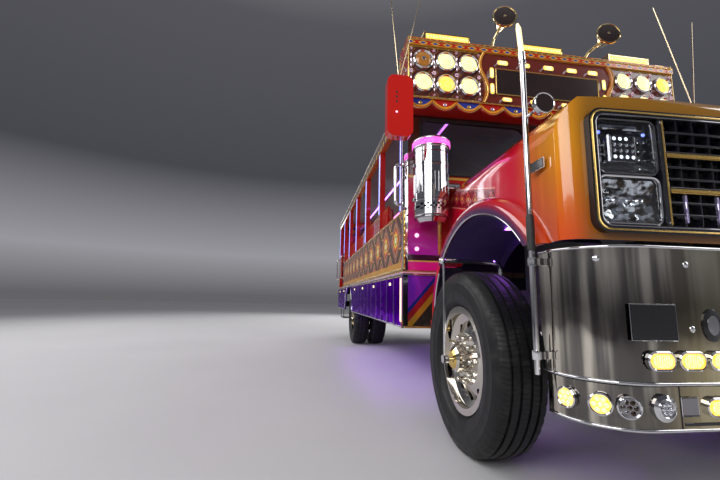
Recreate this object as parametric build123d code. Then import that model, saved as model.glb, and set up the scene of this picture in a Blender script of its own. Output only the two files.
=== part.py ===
from build123d import *
import os
from math import atan2, cos, pi, radians, sin, sqrt

# A conventional-cab chiva bus. Millimetres, +Z up, nose towards -Y, kerb side towards -X.
# The origin lies on the ground under the middle of the bus.

# Overall layout: the lamps on the bumper are foremost and the towing block rearmost
front_overhang = 950
wheelbase = 5200
rear_overhang = 2350
rear_y = (front_overhang + wheelbase + rear_overhang) / 2
front_y = -rear_y
front_axle_y = front_y + front_overhang
rear_axle_y = front_axle_y + wheelbase

# Body
body_half = 1250
cab_setback = 960
body_front = front_axle_y + cab_setback
body_rear = rear_y - 160
wall_t = 45
front_wall_t = 60
deck_top = 1110
deck_t = 40
low_panel_top = 1640
eave_z = 2700
eave_rail_h = 90
roof_rise = 160
roof_t = 30
roof_overhang = 20
post_w = 70
bearer_w = 90
post_d = 60
bay_count = 5
corner_post_w = 80
door_opening = 960
door_bay_front = body_front + front_wall_t + corner_post_w
screen_sill = 2000
screen_top = 2520
screen_inner = 45
screen_outer = body_half - 160
screen_round = 90
glass_t = 6

# Wheels
tyre_r = 520
tyre_w = 280
bead_r = 286
rim_fit = 0.3
barrel_t = 15
rim_w = 210
flange_r = 308
flange_t = 11
front_wheel_x = 1047
twin_gap = 40
rear_wheel_x = 880
hand_holes = 10
hub_reach = 162
axle_nose = 260

# Drive line, tank and silencer
engine_half = 300
engine_front = front_axle_y - 400
engine_rear = front_axle_y + 660
engine_low = 640
engine_top = 1460
gearbox_half = 150
gearbox_rear = engine_rear + 650
gearbox_top = 930
radiator_t = 80
radiator_top = 1600
shaft_r = 45
yoke_r = 60
tank_gap = 20
tank_w = 430
tank_h = 420
tank_l = 1200
tank_round = 90
muffler_r = 130
muffler_l = 1000
pipe_r = 45

# Steering and front axle
kingpin_x = front_wheel_x - 150
kingpin_r = 22
pin_play = 0.5
seat_gap = 0.3
beam_depth = 90
beam_top = 490
boss_r = 45
boss_low = 460.3
boss_high = 575
ear_t = 35
ear_r = 50
spindle_r = 35
steer_arm = 190
arm_pin_r = 9
tie_rod_r = 16

# Chassis
rail_outer = 430
rail_flange = 75
rail_h = 250
rail_web = 12
rail_z = 700
rail_front = front_y + 150
rail_rear = rear_y - 200
member_w = 80
member_low = rail_z + 160
spring_w = 74
spring_t = 70
hitch_bore_r = 20.5
hitch_t = 60
hitch_y = rear_y - 45

# Hood and front fenders
hood_half = 1030
hood_rear_half = 850
hood_front = front_y + 100
hood_rear = body_front - 140
hood_low = 1125
hood_shoulder = 1590
hood_rear_shoulder = 1700
hood_edge = 1752
hood_rear_edge = 1895
hood_crown = 1785
hood_rear_crown = 1935
hood_edge_half = 945
hood_rear_edge_half = 700
nose_corner = 102
nose_half = hood_half - nose_corner
nose_round = 70
hood_skin = 12
arch_z = 670
arch_r = 720
flare_w = 100
flare_half = 1063
flare_round = 60
panel_gap = 5
hood_pivot_y = hood_front + 38
hood_pivot_z = 1150
hinge_pin_r = 12
hinge_bracket_x = 392
hinge_bracket_t = 14

# Grille and headlamps
surround_half = 922
surround_low = 1152
surround_high = 1692
surround_round = 60
surround_bar = 34
lamp_bay_w = 312
grille_depth = 30
grille_bars = 15
grille_tiers = 3
grid_post = 24
grid_half = surround_half - surround_bar - lamp_bay_w
opening_round = 40

# Front bumper
bumper_led_t = 14
bumper_front = front_y + bumper_led_t
bumper_half = 1035
bumper_corner = 250
bumper_low = 570
bumper_top = 1090
bumper_back = front_y + 320
bumper_t = 10
lip_low = 405
lip_step = 18

# Marquee over the windscreen
marquee_half = body_half + 45
marquee_front = body_front - 300
marquee_low = 2555
marquee_top = 3130
lamp_r = 89
lamp_columns = (marquee_half - 540, marquee_half - 335, marquee_half - 130)
lamp_rows = (2900, 2690)

# Air cleaner
cleaner_x = 200 - body_half
cleaner_r = 145
cleaner_low = 1500
cleaner_top = 2240
cleaner_gap = 20

# Mirrors
mirror_x = marquee_half + 100
mirror_half = 105
mirror_y = marquee_front - 100
mirror_depth = 90
mirror_low = 2130
mirror_top = 2650


def slab(x, y, z):
    """Box between the low and high limits along each axis."""
    size = (x[1] - x[0], y[1] - y[0], z[1] - z[0])
    return Pos(sum(x) / 2, sum(y) / 2, sum(z) / 2) * Box(*size)


def bar(start, end, radius):
    """Round bar between two points."""
    run = Vector(*end) - Vector(*start)
    return Solid.make_cylinder(radius, run.length, Plane(origin=start, z_dir=run))


def bent_tube(points, radius, bend):
    """Round tube along straight runs joined by arcs."""
    path = FilletPolyline(*points, radius=bend)
    return sweep(Plane(origin=path @ 0, z_dir=path % 0) * Circle(radius), path=path)


def turned(profile, x, y, z, axis="X"):
    """Solid of revolution: profile gives (distance along the axis, radius) pairs."""
    face = make_face(Polyline(*[(a, r) for a, r in profile], close=True))
    solid = revolve(face, Axis.X)
    if axis == "-X":
        solid = Rot(0, 0, 180) * solid
    if axis == "Y":
        solid = Rot(0, 0, 90) * solid
    if axis == "-Y":
        solid = Rot(0, 0, -90) * solid
    if axis == "Z":
        solid = Rot(0, -90, 0) * solid
    return Pos(x, y, z) * solid


def side_prism(face_yz, x):
    """Extrude a face drawn in (y, z) between two x limits."""
    return extrude(Plane.YZ.offset(x[0]) * face_yz, x[1] - x[0])


def front_prism(face_xz, y):
    """Extrude a face drawn in (x, z) between two y limits."""
    plane = Plane(origin=(0, y[0], 0), x_dir=(1, 0, 0), z_dir=(0, -1, 0))
    return extrude(plane * face_xz, -(y[1] - y[0]))


def plan_prism(face_xy, z):
    """Extrude a face drawn in (x, y) between two z limits."""
    return extrude(Pos(0, 0, z[0]) * face_xy, z[1] - z[0])


def other_side(shape):
    """The same piece on the other side of the bus."""
    return mirror(shape, about=Plane.YZ)


def both(shape):
    return [shape, other_side(shape)]


def fuse(*shapes):
    result = shapes[0]
    for shape in shapes[1:]:
        result = result + shape
    return result


def save(name, *shapes):
    solids = [solid for shape in shapes for solid in shape.solids()]
    whole = solids[0] if len(solids) == 1 else Compound(solids)
    export_step(whole, os.path.join("parts", name + ".step"))


# Chassis frame: two channel rails, cross-members and the rear towing block

def chassis_frame():
    rail = slab((rail_outer - rail_flange, rail_outer), (rail_front, rail_rear), (rail_z, rail_z + rail_h))
    channel = slab((rail_outer - rail_flange, rail_outer - rail_web), (rail_front, rail_rear),
                   (rail_z + rail_web, rail_z + rail_h - rail_web))
    member_half = rail_outer - rail_web - seat_gap
    member_z = (member_low, rail_z + rail_h - rail_web - seat_gap)
    last_y = rail_rear - member_w / 2
    spring_ys = [rear_axle_y + step for step in (-1200, -800, 800)]
    member_ys = [rail_front + 100, gearbox_rear + 290, (gearbox_rear + spring_ys[0]) / 2] + spring_ys
    members = [slab((-member_half, member_half), (y - member_w / 2, y + member_w / 2), member_z)
               for y in member_ys + [last_y]]
    hitch = slab((-60, 60), (last_y, rear_y), (member_low - hitch_t, member_low))
    bore = bar((0, hitch_y, member_low - 2 * hitch_t), (0, hitch_y, member_low + hitch_t), hitch_bore_r)
    members[-1] = members[-1] + (hitch - bore)
    return both(rail - channel) + members


# Hood hinges: brackets on the rails' front ends with a pin each

def hood_hinges():
    foot_z = rail_z + rail_h + seat_gap
    y = (rail_front + 20, rail_front + 80)
    x = (hinge_bracket_x - hinge_bracket_t / 2, hinge_bracket_x + hinge_bracket_t / 2)
    foot = slab((rail_outer - rail_flange, rail_outer), y, (foot_z, foot_z + 12))
    upright = slab(x, y, (foot_z, hood_pivot_z + 16))
    arm = slab(x, (hood_pivot_y, y[1] - 40), (hood_pivot_z - 16, hood_pivot_z + 16))
    boss = bar((x[0], hood_pivot_y, hood_pivot_z), (x[1], hood_pivot_y, hood_pivot_z), 16)
    pin = bar((hinge_bracket_x, hood_pivot_y, hood_pivot_z),
              (hinge_bracket_x + 32, hood_pivot_y, hood_pivot_z), hinge_pin_r)
    return both(fuse(foot, upright, arm, boss, pin))


# Leaf springs with their hangers

def leaf_spring(axle_y, seat_z, reach):
    x_mid = rail_outer - rail_flange / 2
    end_z = rail_z - 40
    low = ThreePointArc((axle_y - reach, end_z - spring_t / 2), (axle_y, seat_z), (axle_y + reach, end_z - spring_t / 2))
    high = ThreePointArc((axle_y - reach, end_z), (axle_y, seat_z + spring_t), (axle_y + reach, end_z))
    ends = [Line((axle_y + s * reach, end_z - spring_t / 2), (axle_y + s * reach, end_z)) for s in (-1, 1)]
    pack = side_prism(make_face([low, high] + ends), (x_mid - spring_w / 2, x_mid + spring_w / 2))
    for s in (-1, 1):
        y = axle_y + s * (reach - 30)
        hanger = slab((x_mid - spring_w / 2, x_mid + spring_w / 2), (y - 35, y + 35), (end_z - 30, rail_z))
        pack = pack + hanger
    return pack


def springs():
    front = leaf_spring(front_axle_y, beam_top + 30, 600)
    rear = leaf_spring(rear_axle_y, tyre_r + 75, 700)
    return both(front) + both(rear)


# Front axle: a dropped beam with an eye for each kingpin

def front_axle():
    low = beam_top - beam_depth
    half = [(0, low), (kingpin_x - 280, low), (kingpin_x - 140, low + 62), (kingpin_x - 20, low + 62),
            (kingpin_x - 20, boss_high - 10), (kingpin_x - 150, boss_high - 10), (kingpin_x - 300, beam_top),
            (0, beam_top)]
    left_half = front_prism(make_face(Polyline(*half, close=True)),
                            (front_axle_y - beam_depth / 2, front_axle_y + beam_depth / 2))
    boss = bar((kingpin_x, front_axle_y, boss_low), (kingpin_x, front_axle_y, boss_high), boss_r)
    bore = bar((kingpin_x, front_axle_y, 0), (kingpin_x, front_axle_y, 700), kingpin_r + pin_play)
    x_mid = rail_outer - rail_flange / 2
    pad = slab((x_mid - 45, x_mid + 45), (front_axle_y - 110, front_axle_y + 110), (beam_top - 20, beam_top + 30))
    end = (left_half + boss + pad) - bore
    return end + other_side(end)


# Steering knuckle with its spindle, steering arm and tyre inflation arm

def knuckle():
    y = front_axle_y
    low_ear = (boss_low - seat_gap - ear_t, boss_low - seat_gap)
    high_ear = (boss_high + panel_gap, boss_high + panel_gap + ear_t)
    web_x = (kingpin_x + 60, kingpin_x + 85)
    body = bar((kingpin_x, y, low_ear[0]), (kingpin_x, y, high_ear[1]), kingpin_r)
    for ear in (low_ear, high_ear):
        body = body + bar((kingpin_x, y, ear[0]), (kingpin_x, y, ear[1]), ear_r)
        body = body + slab((kingpin_x, web_x[1]), (y - ear_r, y + ear_r), ear)
    body = body + slab(web_x, (y - 60, y + 60), (low_ear[0], high_ear[1]))
    body = body + bar((web_x[1], y, tyre_r), (front_wheel_x + 80, y, tyre_r), spindle_r)
    arm_y = y + steer_arm
    body = body + slab((kingpin_x - 18, kingpin_x + 18), (y, arm_y), low_ear)
    body = body + bar((kingpin_x, arm_y, low_ear[0]), (kingpin_x, arm_y, low_ear[1]), 24)
    body = body + bar((kingpin_x, arm_y, low_ear[0] - 29), (kingpin_x, arm_y, low_ear[0]), arm_pin_r)
    # Air line: up inside the wheel, over the tread and down to the hub
    top = 2 * tyre_r + 62
    out_x = front_wheel_x + tyre_w / 2 + 68
    riser_x = kingpin_x - 20
    line = bent_tube([(riser_x, y, high_ear[1] - 10), (riser_x, y, top), (out_x, y, top)], 13, 60)
    drop = bar((out_x - 8, y, top), (out_x - 8, y, tyre_r), 7)
    knob = Pos(out_x, y, top) * Sphere(22)
    union = bar((out_x - 26, y, tyre_r), (out_x + 6, y, tyre_r), 24)
    swivel = bar((front_wheel_x + hub_reach + pin_play, y, tyre_r), (out_x - 20, y, tyre_r), 10)
    return body + line + drop + knob + union + swivel


def tie_rod():
    low_ear = boss_low - seat_gap - ear_t
    z = (low_ear - seat_gap - 24, low_ear - seat_gap)
    y = front_axle_y + steer_arm
    z_mid = sum(z) / 2
    rod = bar((-kingpin_x, y, z_mid), (kingpin_x, y, z_mid), tie_rod_r * 0.7)
    sleeve = bar((-kingpin_x + 90, y, z_mid), (kingpin_x - 90, y, z_mid), tie_rod_r)
    rod = rod + sleeve
    for x in (-kingpin_x, kingpin_x):
        rod = rod + bar((x, y, z[0]), (x, y, z[1]), 24)
    for x in (-kingpin_x, kingpin_x):
        rod = rod - bar((x, y, 0), (x, y, 700), arm_pin_r + pin_play)
    return rod


# Rear axle: banjo case, tubes and stub shafts, with spring pads on top

def rear_axle():
    y, z = rear_axle_y, tyre_r
    tube_half = 555
    case = bar((0, y - 150, z), (0, y + 130, z), 190)
    nose = bar((0, y - axle_nose, z), (0, y - 150, z), 90)
    tube = bar((-tube_half, y, z), (tube_half, y, z), 70)
    stub = bar((-rear_wheel_x - 190, y, z), (rear_wheel_x + 190, y, z), spindle_r + 10)
    axle = case + nose + tube + stub
    for side in (1, -1):
        x_mid = side * (rail_outer - rail_flange / 2)
        axle = axle + slab((x_mid - 45, x_mid + 45), (y - 70, y + 70), (z, z + 75))
    return axle


# Wheels, turned about the axle line; the table columns are (distance outboard, radius)

def tyre(x_mid, side):
    half = tyre_w / 2
    bead = rim_w / 2 - flange_t - rim_fit
    profile = [(-bead, bead_r), (-bead, flange_r + 3), (-half + 12, flange_r + 24), (-half, bead_r + 110),
               (-half + 8, tyre_r - 55), (-half + 30, tyre_r - 14), (-half + 55, tyre_r),
               (half - 55, tyre_r), (half - 30, tyre_r - 14), (half - 8, tyre_r - 55),
               (half, bead_r + 110), (half - 12, flange_r + 24), (bead, flange_r + 3), (bead, bead_r)]
    return turned(profile, side * x_mid, 0, tyre_r)


def rim_ring(offset, disc):
    """Barrel with its two flanges and the wheel disc, as (along, radius) from the wheel's middle."""
    outer = bead_r - rim_fit
    inner = outer - barrel_t
    half = rim_w / 2
    profile = [(-half, inner), (-half, flange_r), (-half + flange_t, flange_r), (-half + flange_t, outer),
               (half - flange_t, outer), (half - flange_t, flange_r), (half, flange_r), (half, inner),
               (disc[1] + 25, inner), (disc[1], inner - 45), (disc[1] + disc[2], 150), (disc[1] + disc[2], 60),
               (disc[0] + disc[2], 60), (disc[0] + disc[2], 150), (disc[0], inner - 45), (disc[0] - 25, inner)]
    return [(along + offset, radius) for along, radius in profile]


def hole_ring(shape, radius, hole_r, count, x, y, z, reach):
    """Round holes through a wheel disc, evenly spaced."""
    for i in range(count):
        angle = 2 * pi * (i + 0.5) / count
        hy, hz = y + radius * cos(angle), z + radius * sin(angle)
        shape = shape - bar((x - reach, hy, hz), (x + reach, hy, hz), hole_r)
    return shape


def front_rim(side):
    axis = "X" if side > 0 else "-X"
    x = side * front_wheel_x
    ring = turned(rim_ring(0, (20, 36, 30)), x, 0, tyre_r, axis)
    hub_bore = spindle_r + pin_play
    hub = turned([(-55, hub_bore), (-55, 118), (30, 118), (66, 105), (66, 82), (140, 74), (hub_reach, 44), (hub_reach, 0),
                  (92, 0), (92, hub_bore)], x, 0, tyre_r, axis)
    wheel = ring + hub
    return hole_ring(wheel, 208, 26, hand_holes, x + side * 36, 0, tyre_r, 60)


def rear_rims(side):
    axis = "X" if side > 0 else "-X"
    x = side * rear_wheel_x
    offset = (tyre_w + twin_gap) / 2
    inner = turned(rim_ring(-offset, (rim_w / 2 - 5, rim_w / 2 + 15, 40)), x, 0, tyre_r, axis)
    outer = turned([(-a, r) for a, r in rim_ring(-offset, (rim_w / 2 - 5, rim_w / 2 + 15, 40))][::-1],
                   x, 0, tyre_r, axis)
    bore = spindle_r + 10 + pin_play
    hub = turned([(-120, bore), (-120, 125), (20, 125), (60, 100), (215, 90), (240, 60), (240, 0), (195, 0),
                  (195, bore)], x, 0, tyre_r, axis)
    wheel = inner + outer + hub
    return hole_ring(wheel, 205, 26, hand_holes, x, 0, tyre_r, 60)


# Drive line and tanks

def engine_block():
    block = slab((-engine_half, engine_half), (engine_front, engine_rear), (engine_low, engine_top))
    gearbox = slab((-gearbox_half, gearbox_half), (engine_rear, gearbox_rear), (engine_low + 10, gearbox_top))
    arm = rail_outer - rail_flange
    feet = [slab((-arm, arm), (y - 40, y + 40), (rail_z + 70, rail_z + 130))
            for y in (engine_front + 200, engine_rear - 160)]
    return fuse(block, gearbox, *feet)


def radiator():
    y = rail_front + 140
    return slab((-rail_outer, rail_outer), (y, y + radiator_t), (rail_z + rail_h, radiator_top))


def drive_shaft():
    """Tube between two joint yokes, from the gearbox down to the rear axle's nose."""
    y = (gearbox_rear, rear_axle_y - axle_nose)
    z = ((engine_low + gearbox_top) / 2, tyre_r)
    shaft = bar((0, y[0] + 60, z[0]), (0, y[1] - 60, z[1]), shaft_r)
    yokes = [bar((0, y[0], z[0]), (0, y[0] + 70, z[0]), yoke_r), bar((0, y[1] - 70, z[1]), (0, y[1], z[1]), yoke_r)]
    return fuse(shaft, *yokes)


def fuel_tank():
    x_mid = rail_outer + tank_gap + tank_w / 2
    z_mid = rail_z + 25
    y = (front_axle_y + 2250, front_axle_y + 2250 + tank_l)
    tank = front_prism(Pos(x_mid, z_mid) * RectangleRounded(tank_w, tank_h, tank_round), y)
    straps = [slab((rail_outer, x_mid), (yb - 30, yb + 30), (z_mid - 15, z_mid + 95))
              for yb in (y[0] + 200, y[1] - 200)]
    return fuse(tank, *straps)


def exhaust():
    x = -rail_outer - muffler_r - 60
    z = rail_z + 60
    y = (body_front - 110, front_axle_y + 1800, front_axle_y + 1800 + muffler_l, rear_axle_y - 850)
    muffler = bar((x, y[1], z), (x, y[2], z), muffler_r)
    pipe = bar((x, y[0], z), (x, y[3], z), pipe_r)
    straps = [slab((x, -rail_outer), (yb - 25, yb + 25), (z + 90, z + 140)) for yb in (y[1] + 150, y[2] - 150)]
    return fuse(muffler, pipe, *straps)


# Floor deck on its cross bearers

def floor_deck():
    deck = slab((-body_half, body_half), (body_front, body_rear), (deck_top - deck_t, deck_top))
    bearer_z = (rail_z + rail_h, deck_top - deck_t - seat_gap)
    wheel_room = tyre_r + 130
    front_run = (body_front + 140, rear_axle_y - wheel_room)
    rear_run = (rear_axle_y + wheel_room, body_rear - 240)
    ys = [low + i * (high - low) / (count - 1)
          for (low, high), count in ((front_run, 6), (rear_run, 3)) for i in range(count)]
    bearers = [slab((60 - body_half, body_half - 60), (y - bearer_w / 2, y + bearer_w / 2), bearer_z) for y in ys]
    over_axle = slab((-rail_outer, rail_outer), (rear_axle_y - 60, rear_axle_y + 60), bearer_z)
    return [deck, over_axle] + bearers


# Walls

first_post_y = door_bay_front + door_opening + post_w / 2
post_pitch = (body_rear - wall_t - post_w / 2 - first_post_y) / bay_count
post_ys = [first_post_y + i * post_pitch for i in range(bay_count + 1)]
front_post_y = door_bay_front - corner_post_w / 2
wall_x = (body_half - post_d, body_half)
post_top = eave_z - eave_rail_h


def post(y, z_low, width=post_w):
    return slab(wall_x, (y - width / 2, y + width / 2), (z_low, post_top))


def side_posts():
    left = [post(post_ys[0], deck_top)] + [post(y, low_panel_top) for y in post_ys[1:-1]]
    left += [post(post_ys[-1], deck_top)]
    right = [post(front_post_y, low_panel_top, corner_post_w)] + [post(y, low_panel_top) for y in post_ys[:-2]]
    right += [post(post_ys[-2], deck_top), post(post_ys[-1], deck_top)]
    return left + [other_side(piece) for piece in right]


def door_post():
    """The left front post, with the driver's door hinge halves and their pins."""
    piece = post(front_post_y, deck_top, corner_post_w)
    for z in door_hinge_zs:
        knuckle_half = bar((hinge_x, hinge_y, z + 21), (hinge_x, hinge_y, z + 60), hinge_r)
        leaf = slab((body_half, body_half + 5), (hinge_y - 60, hinge_y), (z + 21, z + 60))
        pin = bar((hinge_x, hinge_y, z - 20), (hinge_x, hinge_y, z + 30), door_pin_r)
        piece = fuse(piece, leaf, knuckle_half, pin)
    return piece


def low_panels():
    z = (deck_top, low_panel_top)
    x = (body_half - wall_t, body_half)
    left = slab(x, (post_ys[0] + post_w / 2, post_ys[-1] - post_w / 2), z)
    right = slab(x, (body_front + front_wall_t, post_ys[-2] - post_w / 2), z)
    return [left, other_side(right)]


def eave_rails():
    return both(slab(wall_x, (body_front + front_wall_t, body_rear - wall_t), (post_top, eave_z)))


def front_wall():
    wall = slab((-body_half, body_half), (body_front, body_front + front_wall_t), (deck_top, eave_z))
    return wall - fuse(*both(windscreen_pane(0, (body_front - 5, body_front + front_wall_t + 5))))


def windscreen_pane(inset, y):
    width = screen_outer - screen_inner - 2 * inset
    height = screen_top - screen_sill - 2 * inset
    shape = RectangleRounded(width, height, screen_round - inset)
    return front_prism(Pos((screen_outer + screen_inner) / 2, (screen_top + screen_sill) / 2) * shape, y)


def windscreen():
    y = body_front + 22
    return both(windscreen_pane(seat_gap, (y, y + glass_t)))


def rear_wall():
    wall = slab((-body_half, body_half), (body_rear - wall_t, body_rear), (deck_top, eave_z))
    window = front_prism(Pos(480, 2150) * RectangleRounded(700, 560, 90), (body_rear - 100, body_rear + 50))
    return wall - fuse(*both(window))


# Roof: a crowned shell over the eaves

def roof_arc(half, eave, rise):
    return ThreePointArc((-half, eave), (0, eave + rise), (half, eave))


def roof_height(x):
    """Height of the roof's upper face at a distance from the middle."""
    half = body_half + roof_overhang
    radius = (half ** 2 + roof_rise ** 2) / (2 * roof_rise)
    return eave_z + roof_t + roof_rise - radius + sqrt(radius ** 2 - x ** 2)


def roof_shell():
    half = body_half + roof_overhang
    high = roof_arc(half, eave_z + roof_t, roof_rise)
    low_flat = body_half - post_d
    low = [Line((-half, eave_z + roof_t), (-half, eave_z)), Line((-half, eave_z), (-low_flat, eave_z)),
           roof_arc(low_flat, eave_z, roof_rise - 8), Line((low_flat, eave_z), (half, eave_z)),
           Line((half, eave_z), (half, eave_z + roof_t))]
    return front_prism(make_face([high] + low), (body_front, body_rear + roof_overhang))


rack_half = body_half - 250
rack_front = body_front + 340
rack_rear = body_rear - 190
rack_rail = 40
rack_floor = roof_height(0) + 45
rack_h = 240


def roof_rack():
    """Base rails on the roof, slats across them, and a railing on uprights."""
    base_z = roof_height(rack_half - rack_rail / 2) + seat_gap
    rack = None
    for x in (-rack_half, rack_half):
        base = slab((x - rack_rail / 2, x + rack_rail / 2), (rack_front, rack_rear), (base_z, rack_floor))
        rack = base if rack is None else rack + base
    slats = 14
    for i in range(slats):
        y = rack_front + 40 + i * (rack_rear - rack_front - 80) / (slats - 1)
        rack = rack + slab((-rack_half, rack_half), (y - 40, y + 40), (rack_floor - 22, rack_floor))
    top = rack_floor + rack_h
    posts = 7
    for i in range(posts):
        y = rack_front + 14 + i * (rack_rear - rack_front - 28) / (posts - 1)
        for x in (-rack_half, rack_half):
            rack = rack + slab((x - 14, x + 14), (y - 14, y + 14), (rack_floor - 10, top))
    for z in (rack_floor + rack_h / 2, top - 14):
        for x in (-rack_half, rack_half):
            rack = rack + slab((x - 12, x + 12), (rack_front, rack_rear), (z - 12, z + 12))
        for y in (rack_front + 14, rack_rear - 14):
            rack = rack + slab((-rack_half, rack_half), (y - 12, y + 12), (z - 12, z + 12))
    return rack


def rear_ladder():
    stile_x = (body_half - 360, body_half - 50)
    y = body_rear + 70
    low, high = 900, rack_floor + rack_h + 60
    ladder = None
    for x in stile_x:
        stile = bar((x, y, low), (x, y, high), 16)
        for z in (1250, 2620):
            stile = stile + bar((x, body_rear, z), (x, y, z), 12)
        ladder = stile if ladder is None else ladder + stile
    for i in range(7):
        z = 980 + i * 330
        ladder = ladder + bar((stile_x[0], y, z), (stile_x[1], y, z), 12)
    return ladder


# Skirts: panels with upright ribs between the wheels, and their front returns

skirt_low = 620
step_z = 400
skirt_t = 25
rib_proud = 12


def skirts():
    x = (body_half - skirt_t, body_half)
    z = (skirt_low, deck_top - deck_t)
    panel = slab(x, (body_front, body_rear), z)
    panel = panel + slab((hood_rear_half + 10, body_half), (body_front, body_front + skirt_t), z)
    ribs = 22
    for i in range(ribs):
        y = body_front + 20 + i * (body_rear - body_front - 40) / (ribs - 1)
        panel = panel + slab((body_half - 5, body_half + rib_proud), (y - 14, y + 14), z)
    arch = bar((0, rear_axle_y, tyre_r), (body_half + 50, rear_axle_y, tyre_r), tyre_r + 80)
    return both(panel - arch)


# Benches down both sides, and the driver's place

def bench(y):
    depth = 440
    back = body_half - post_d
    x0 = back - depth
    profile = [(x0 + 90, deck_top), (x0 + 90, 1440), (x0, 1440), (x0, 1530), (back - 90, 1530), (back - 50, 1900),
               (back, 1900), (back, deck_top)]
    return front_prism(make_face(Polyline(*profile, close=True)), y)


def benches():
    left = bench((post_ys[0] + 200, post_ys[-1] - 60))
    right = bench((post_ys[0] - 200, post_ys[-2] - 60))
    return [left, other_side(right)]


seat_x = 560
seat_y = body_front + 720


def driver_seat():
    base = slab((seat_x - 160, seat_x + 160), (seat_y - 200, seat_y + 200), (deck_top, 1450))
    cushion = slab((seat_x - 240, seat_x + 240), (seat_y - 250, seat_y + 250), (1450, 1570))
    back = [(seat_y + 170, 1570), (seat_y + 240, 2180), (seat_y + 330, 2180), (seat_y + 250, 1570)]
    back = side_prism(make_face(Polyline(*back, close=True)), (seat_x - 230, seat_x + 230))
    return fuse(base, cushion, back)


def dashboard():
    y0 = body_front + front_wall_t
    profile = [(y0, 1480), (y0 + 150, 1480), (y0 + 320, 1700), (y0 + 260, 1830), (y0, 1880)]
    return side_prism(make_face(Polyline(*profile, close=True)), (-body_half + 120, body_half - 120))


def steering_wheel():
    dash_y = body_front + front_wall_t + 290
    tilt = 50
    centre = (seat_x, dash_y + 150, 1905)
    lean = Vector(0, cos(radians(tilt)), sin(radians(tilt)))
    plane = Plane(origin=centre, x_dir=(1, 0, 0), z_dir=lean)
    rim = plane * Torus(220, 14)
    spokes = [plane * Rot(0, 0, a) * Pos(110, 0, 0) * Box(220, 26, 10) for a in (30, 150, 270)]
    boss = plane * Pos(0, 0, -15) * Cylinder(50, 40)
    foot = Vector(*centre) - lean * 300
    column = bar(tuple(foot), centre, 24)
    wheel = fuse(rim, boss, *spokes) + column
    return (wheel - dashboard()).solids().sort_by(SortBy.VOLUME)[-1]


# Driver's door on the left, hinged at its front edge

hinge_r = 13
hinge_x = body_half + hinge_r
hinge_y = door_bay_front - 4
door_pin_r = 7
door_hinge_zs = (1300, 1850, 2400)
door_gap = 6


def driver_door():
    y = (door_bay_front + door_gap, post_ys[0] - post_w / 2 - door_gap)
    z = (deck_top + door_gap, post_top - door_gap)
    leaf = slab((body_half - wall_t, body_half), y, z)
    y_mid = sum(y) / 2
    window = side_prism(Pos(y_mid, 2080) * RectangleRounded(y[1] - y[0] - 200, 700, 140),
                        (body_half - 100, body_half + 50))
    leaf = leaf - window
    for hz in door_hinge_zs:
        barrel = bar((hinge_x, hinge_y, hz - 20), (hinge_x, hinge_y, hz + 20), hinge_r)
        strap = slab((body_half, body_half + 5), (hinge_y, hinge_y + 70), (hz - 20, hz + 20))
        leaf = leaf + strap + barrel
        leaf = leaf - bar((hinge_x, hinge_y, hz - 21), (hinge_x, hinge_y, hz + 20.5), door_pin_r + pin_play)
    return leaf


# Entry steps hung under the driver's door and the rear doorway

def entry_step(y_mid, width):
    x = (body_half - 250, body_half - 35)
    tread = slab(x, (y_mid - width / 2, y_mid + width / 2), (step_z, step_z + 25))
    hangers = [slab((body_half - 55, body_half - 43), (y - 20, y + 20), (step_z, deck_top - deck_t))
               for y in (y_mid - width / 2 + 20, y_mid + width / 2 - 20)]
    return fuse(tread, *hangers)


def entry_steps():
    door_mid = (door_bay_front + post_ys[0]) / 2
    return [entry_step(door_mid, 600), other_side(entry_step((post_ys[-2] + post_ys[-1]) / 2, 600))]


# Hood: the skin with its fender flares tilts forward in one piece

def hood_section(y, half, shoulder, edge_half, edge, crown, z_low):
    """The hood's outline across the bus, with rounded shoulders and a slight crown."""
    rise, run = edge - shoulder, half - edge_half
    radius = (rise ** 2 + run ** 2) / (2 * run)
    angle = (pi + atan2(rise, run - radius)) / 2
    bend = (-half + radius + radius * cos(angle), shoulder + radius * sin(angle))
    section = [Line((-half, z_low), (-half, shoulder)),
               ThreePointArc((-half, shoulder), bend, (-edge_half, edge)),
               ThreePointArc((-edge_half, edge), (0, crown), (edge_half, edge)),
               ThreePointArc((edge_half, edge), (-bend[0], bend[1]), (half, shoulder)),
               Line((half, shoulder), (half, z_low)), Line((half, z_low), (-half, z_low))]
    return Plane(origin=(0, y, 0), x_dir=(1, 0, 0), z_dir=(0, -1, 0)) * make_face(section)


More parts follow.
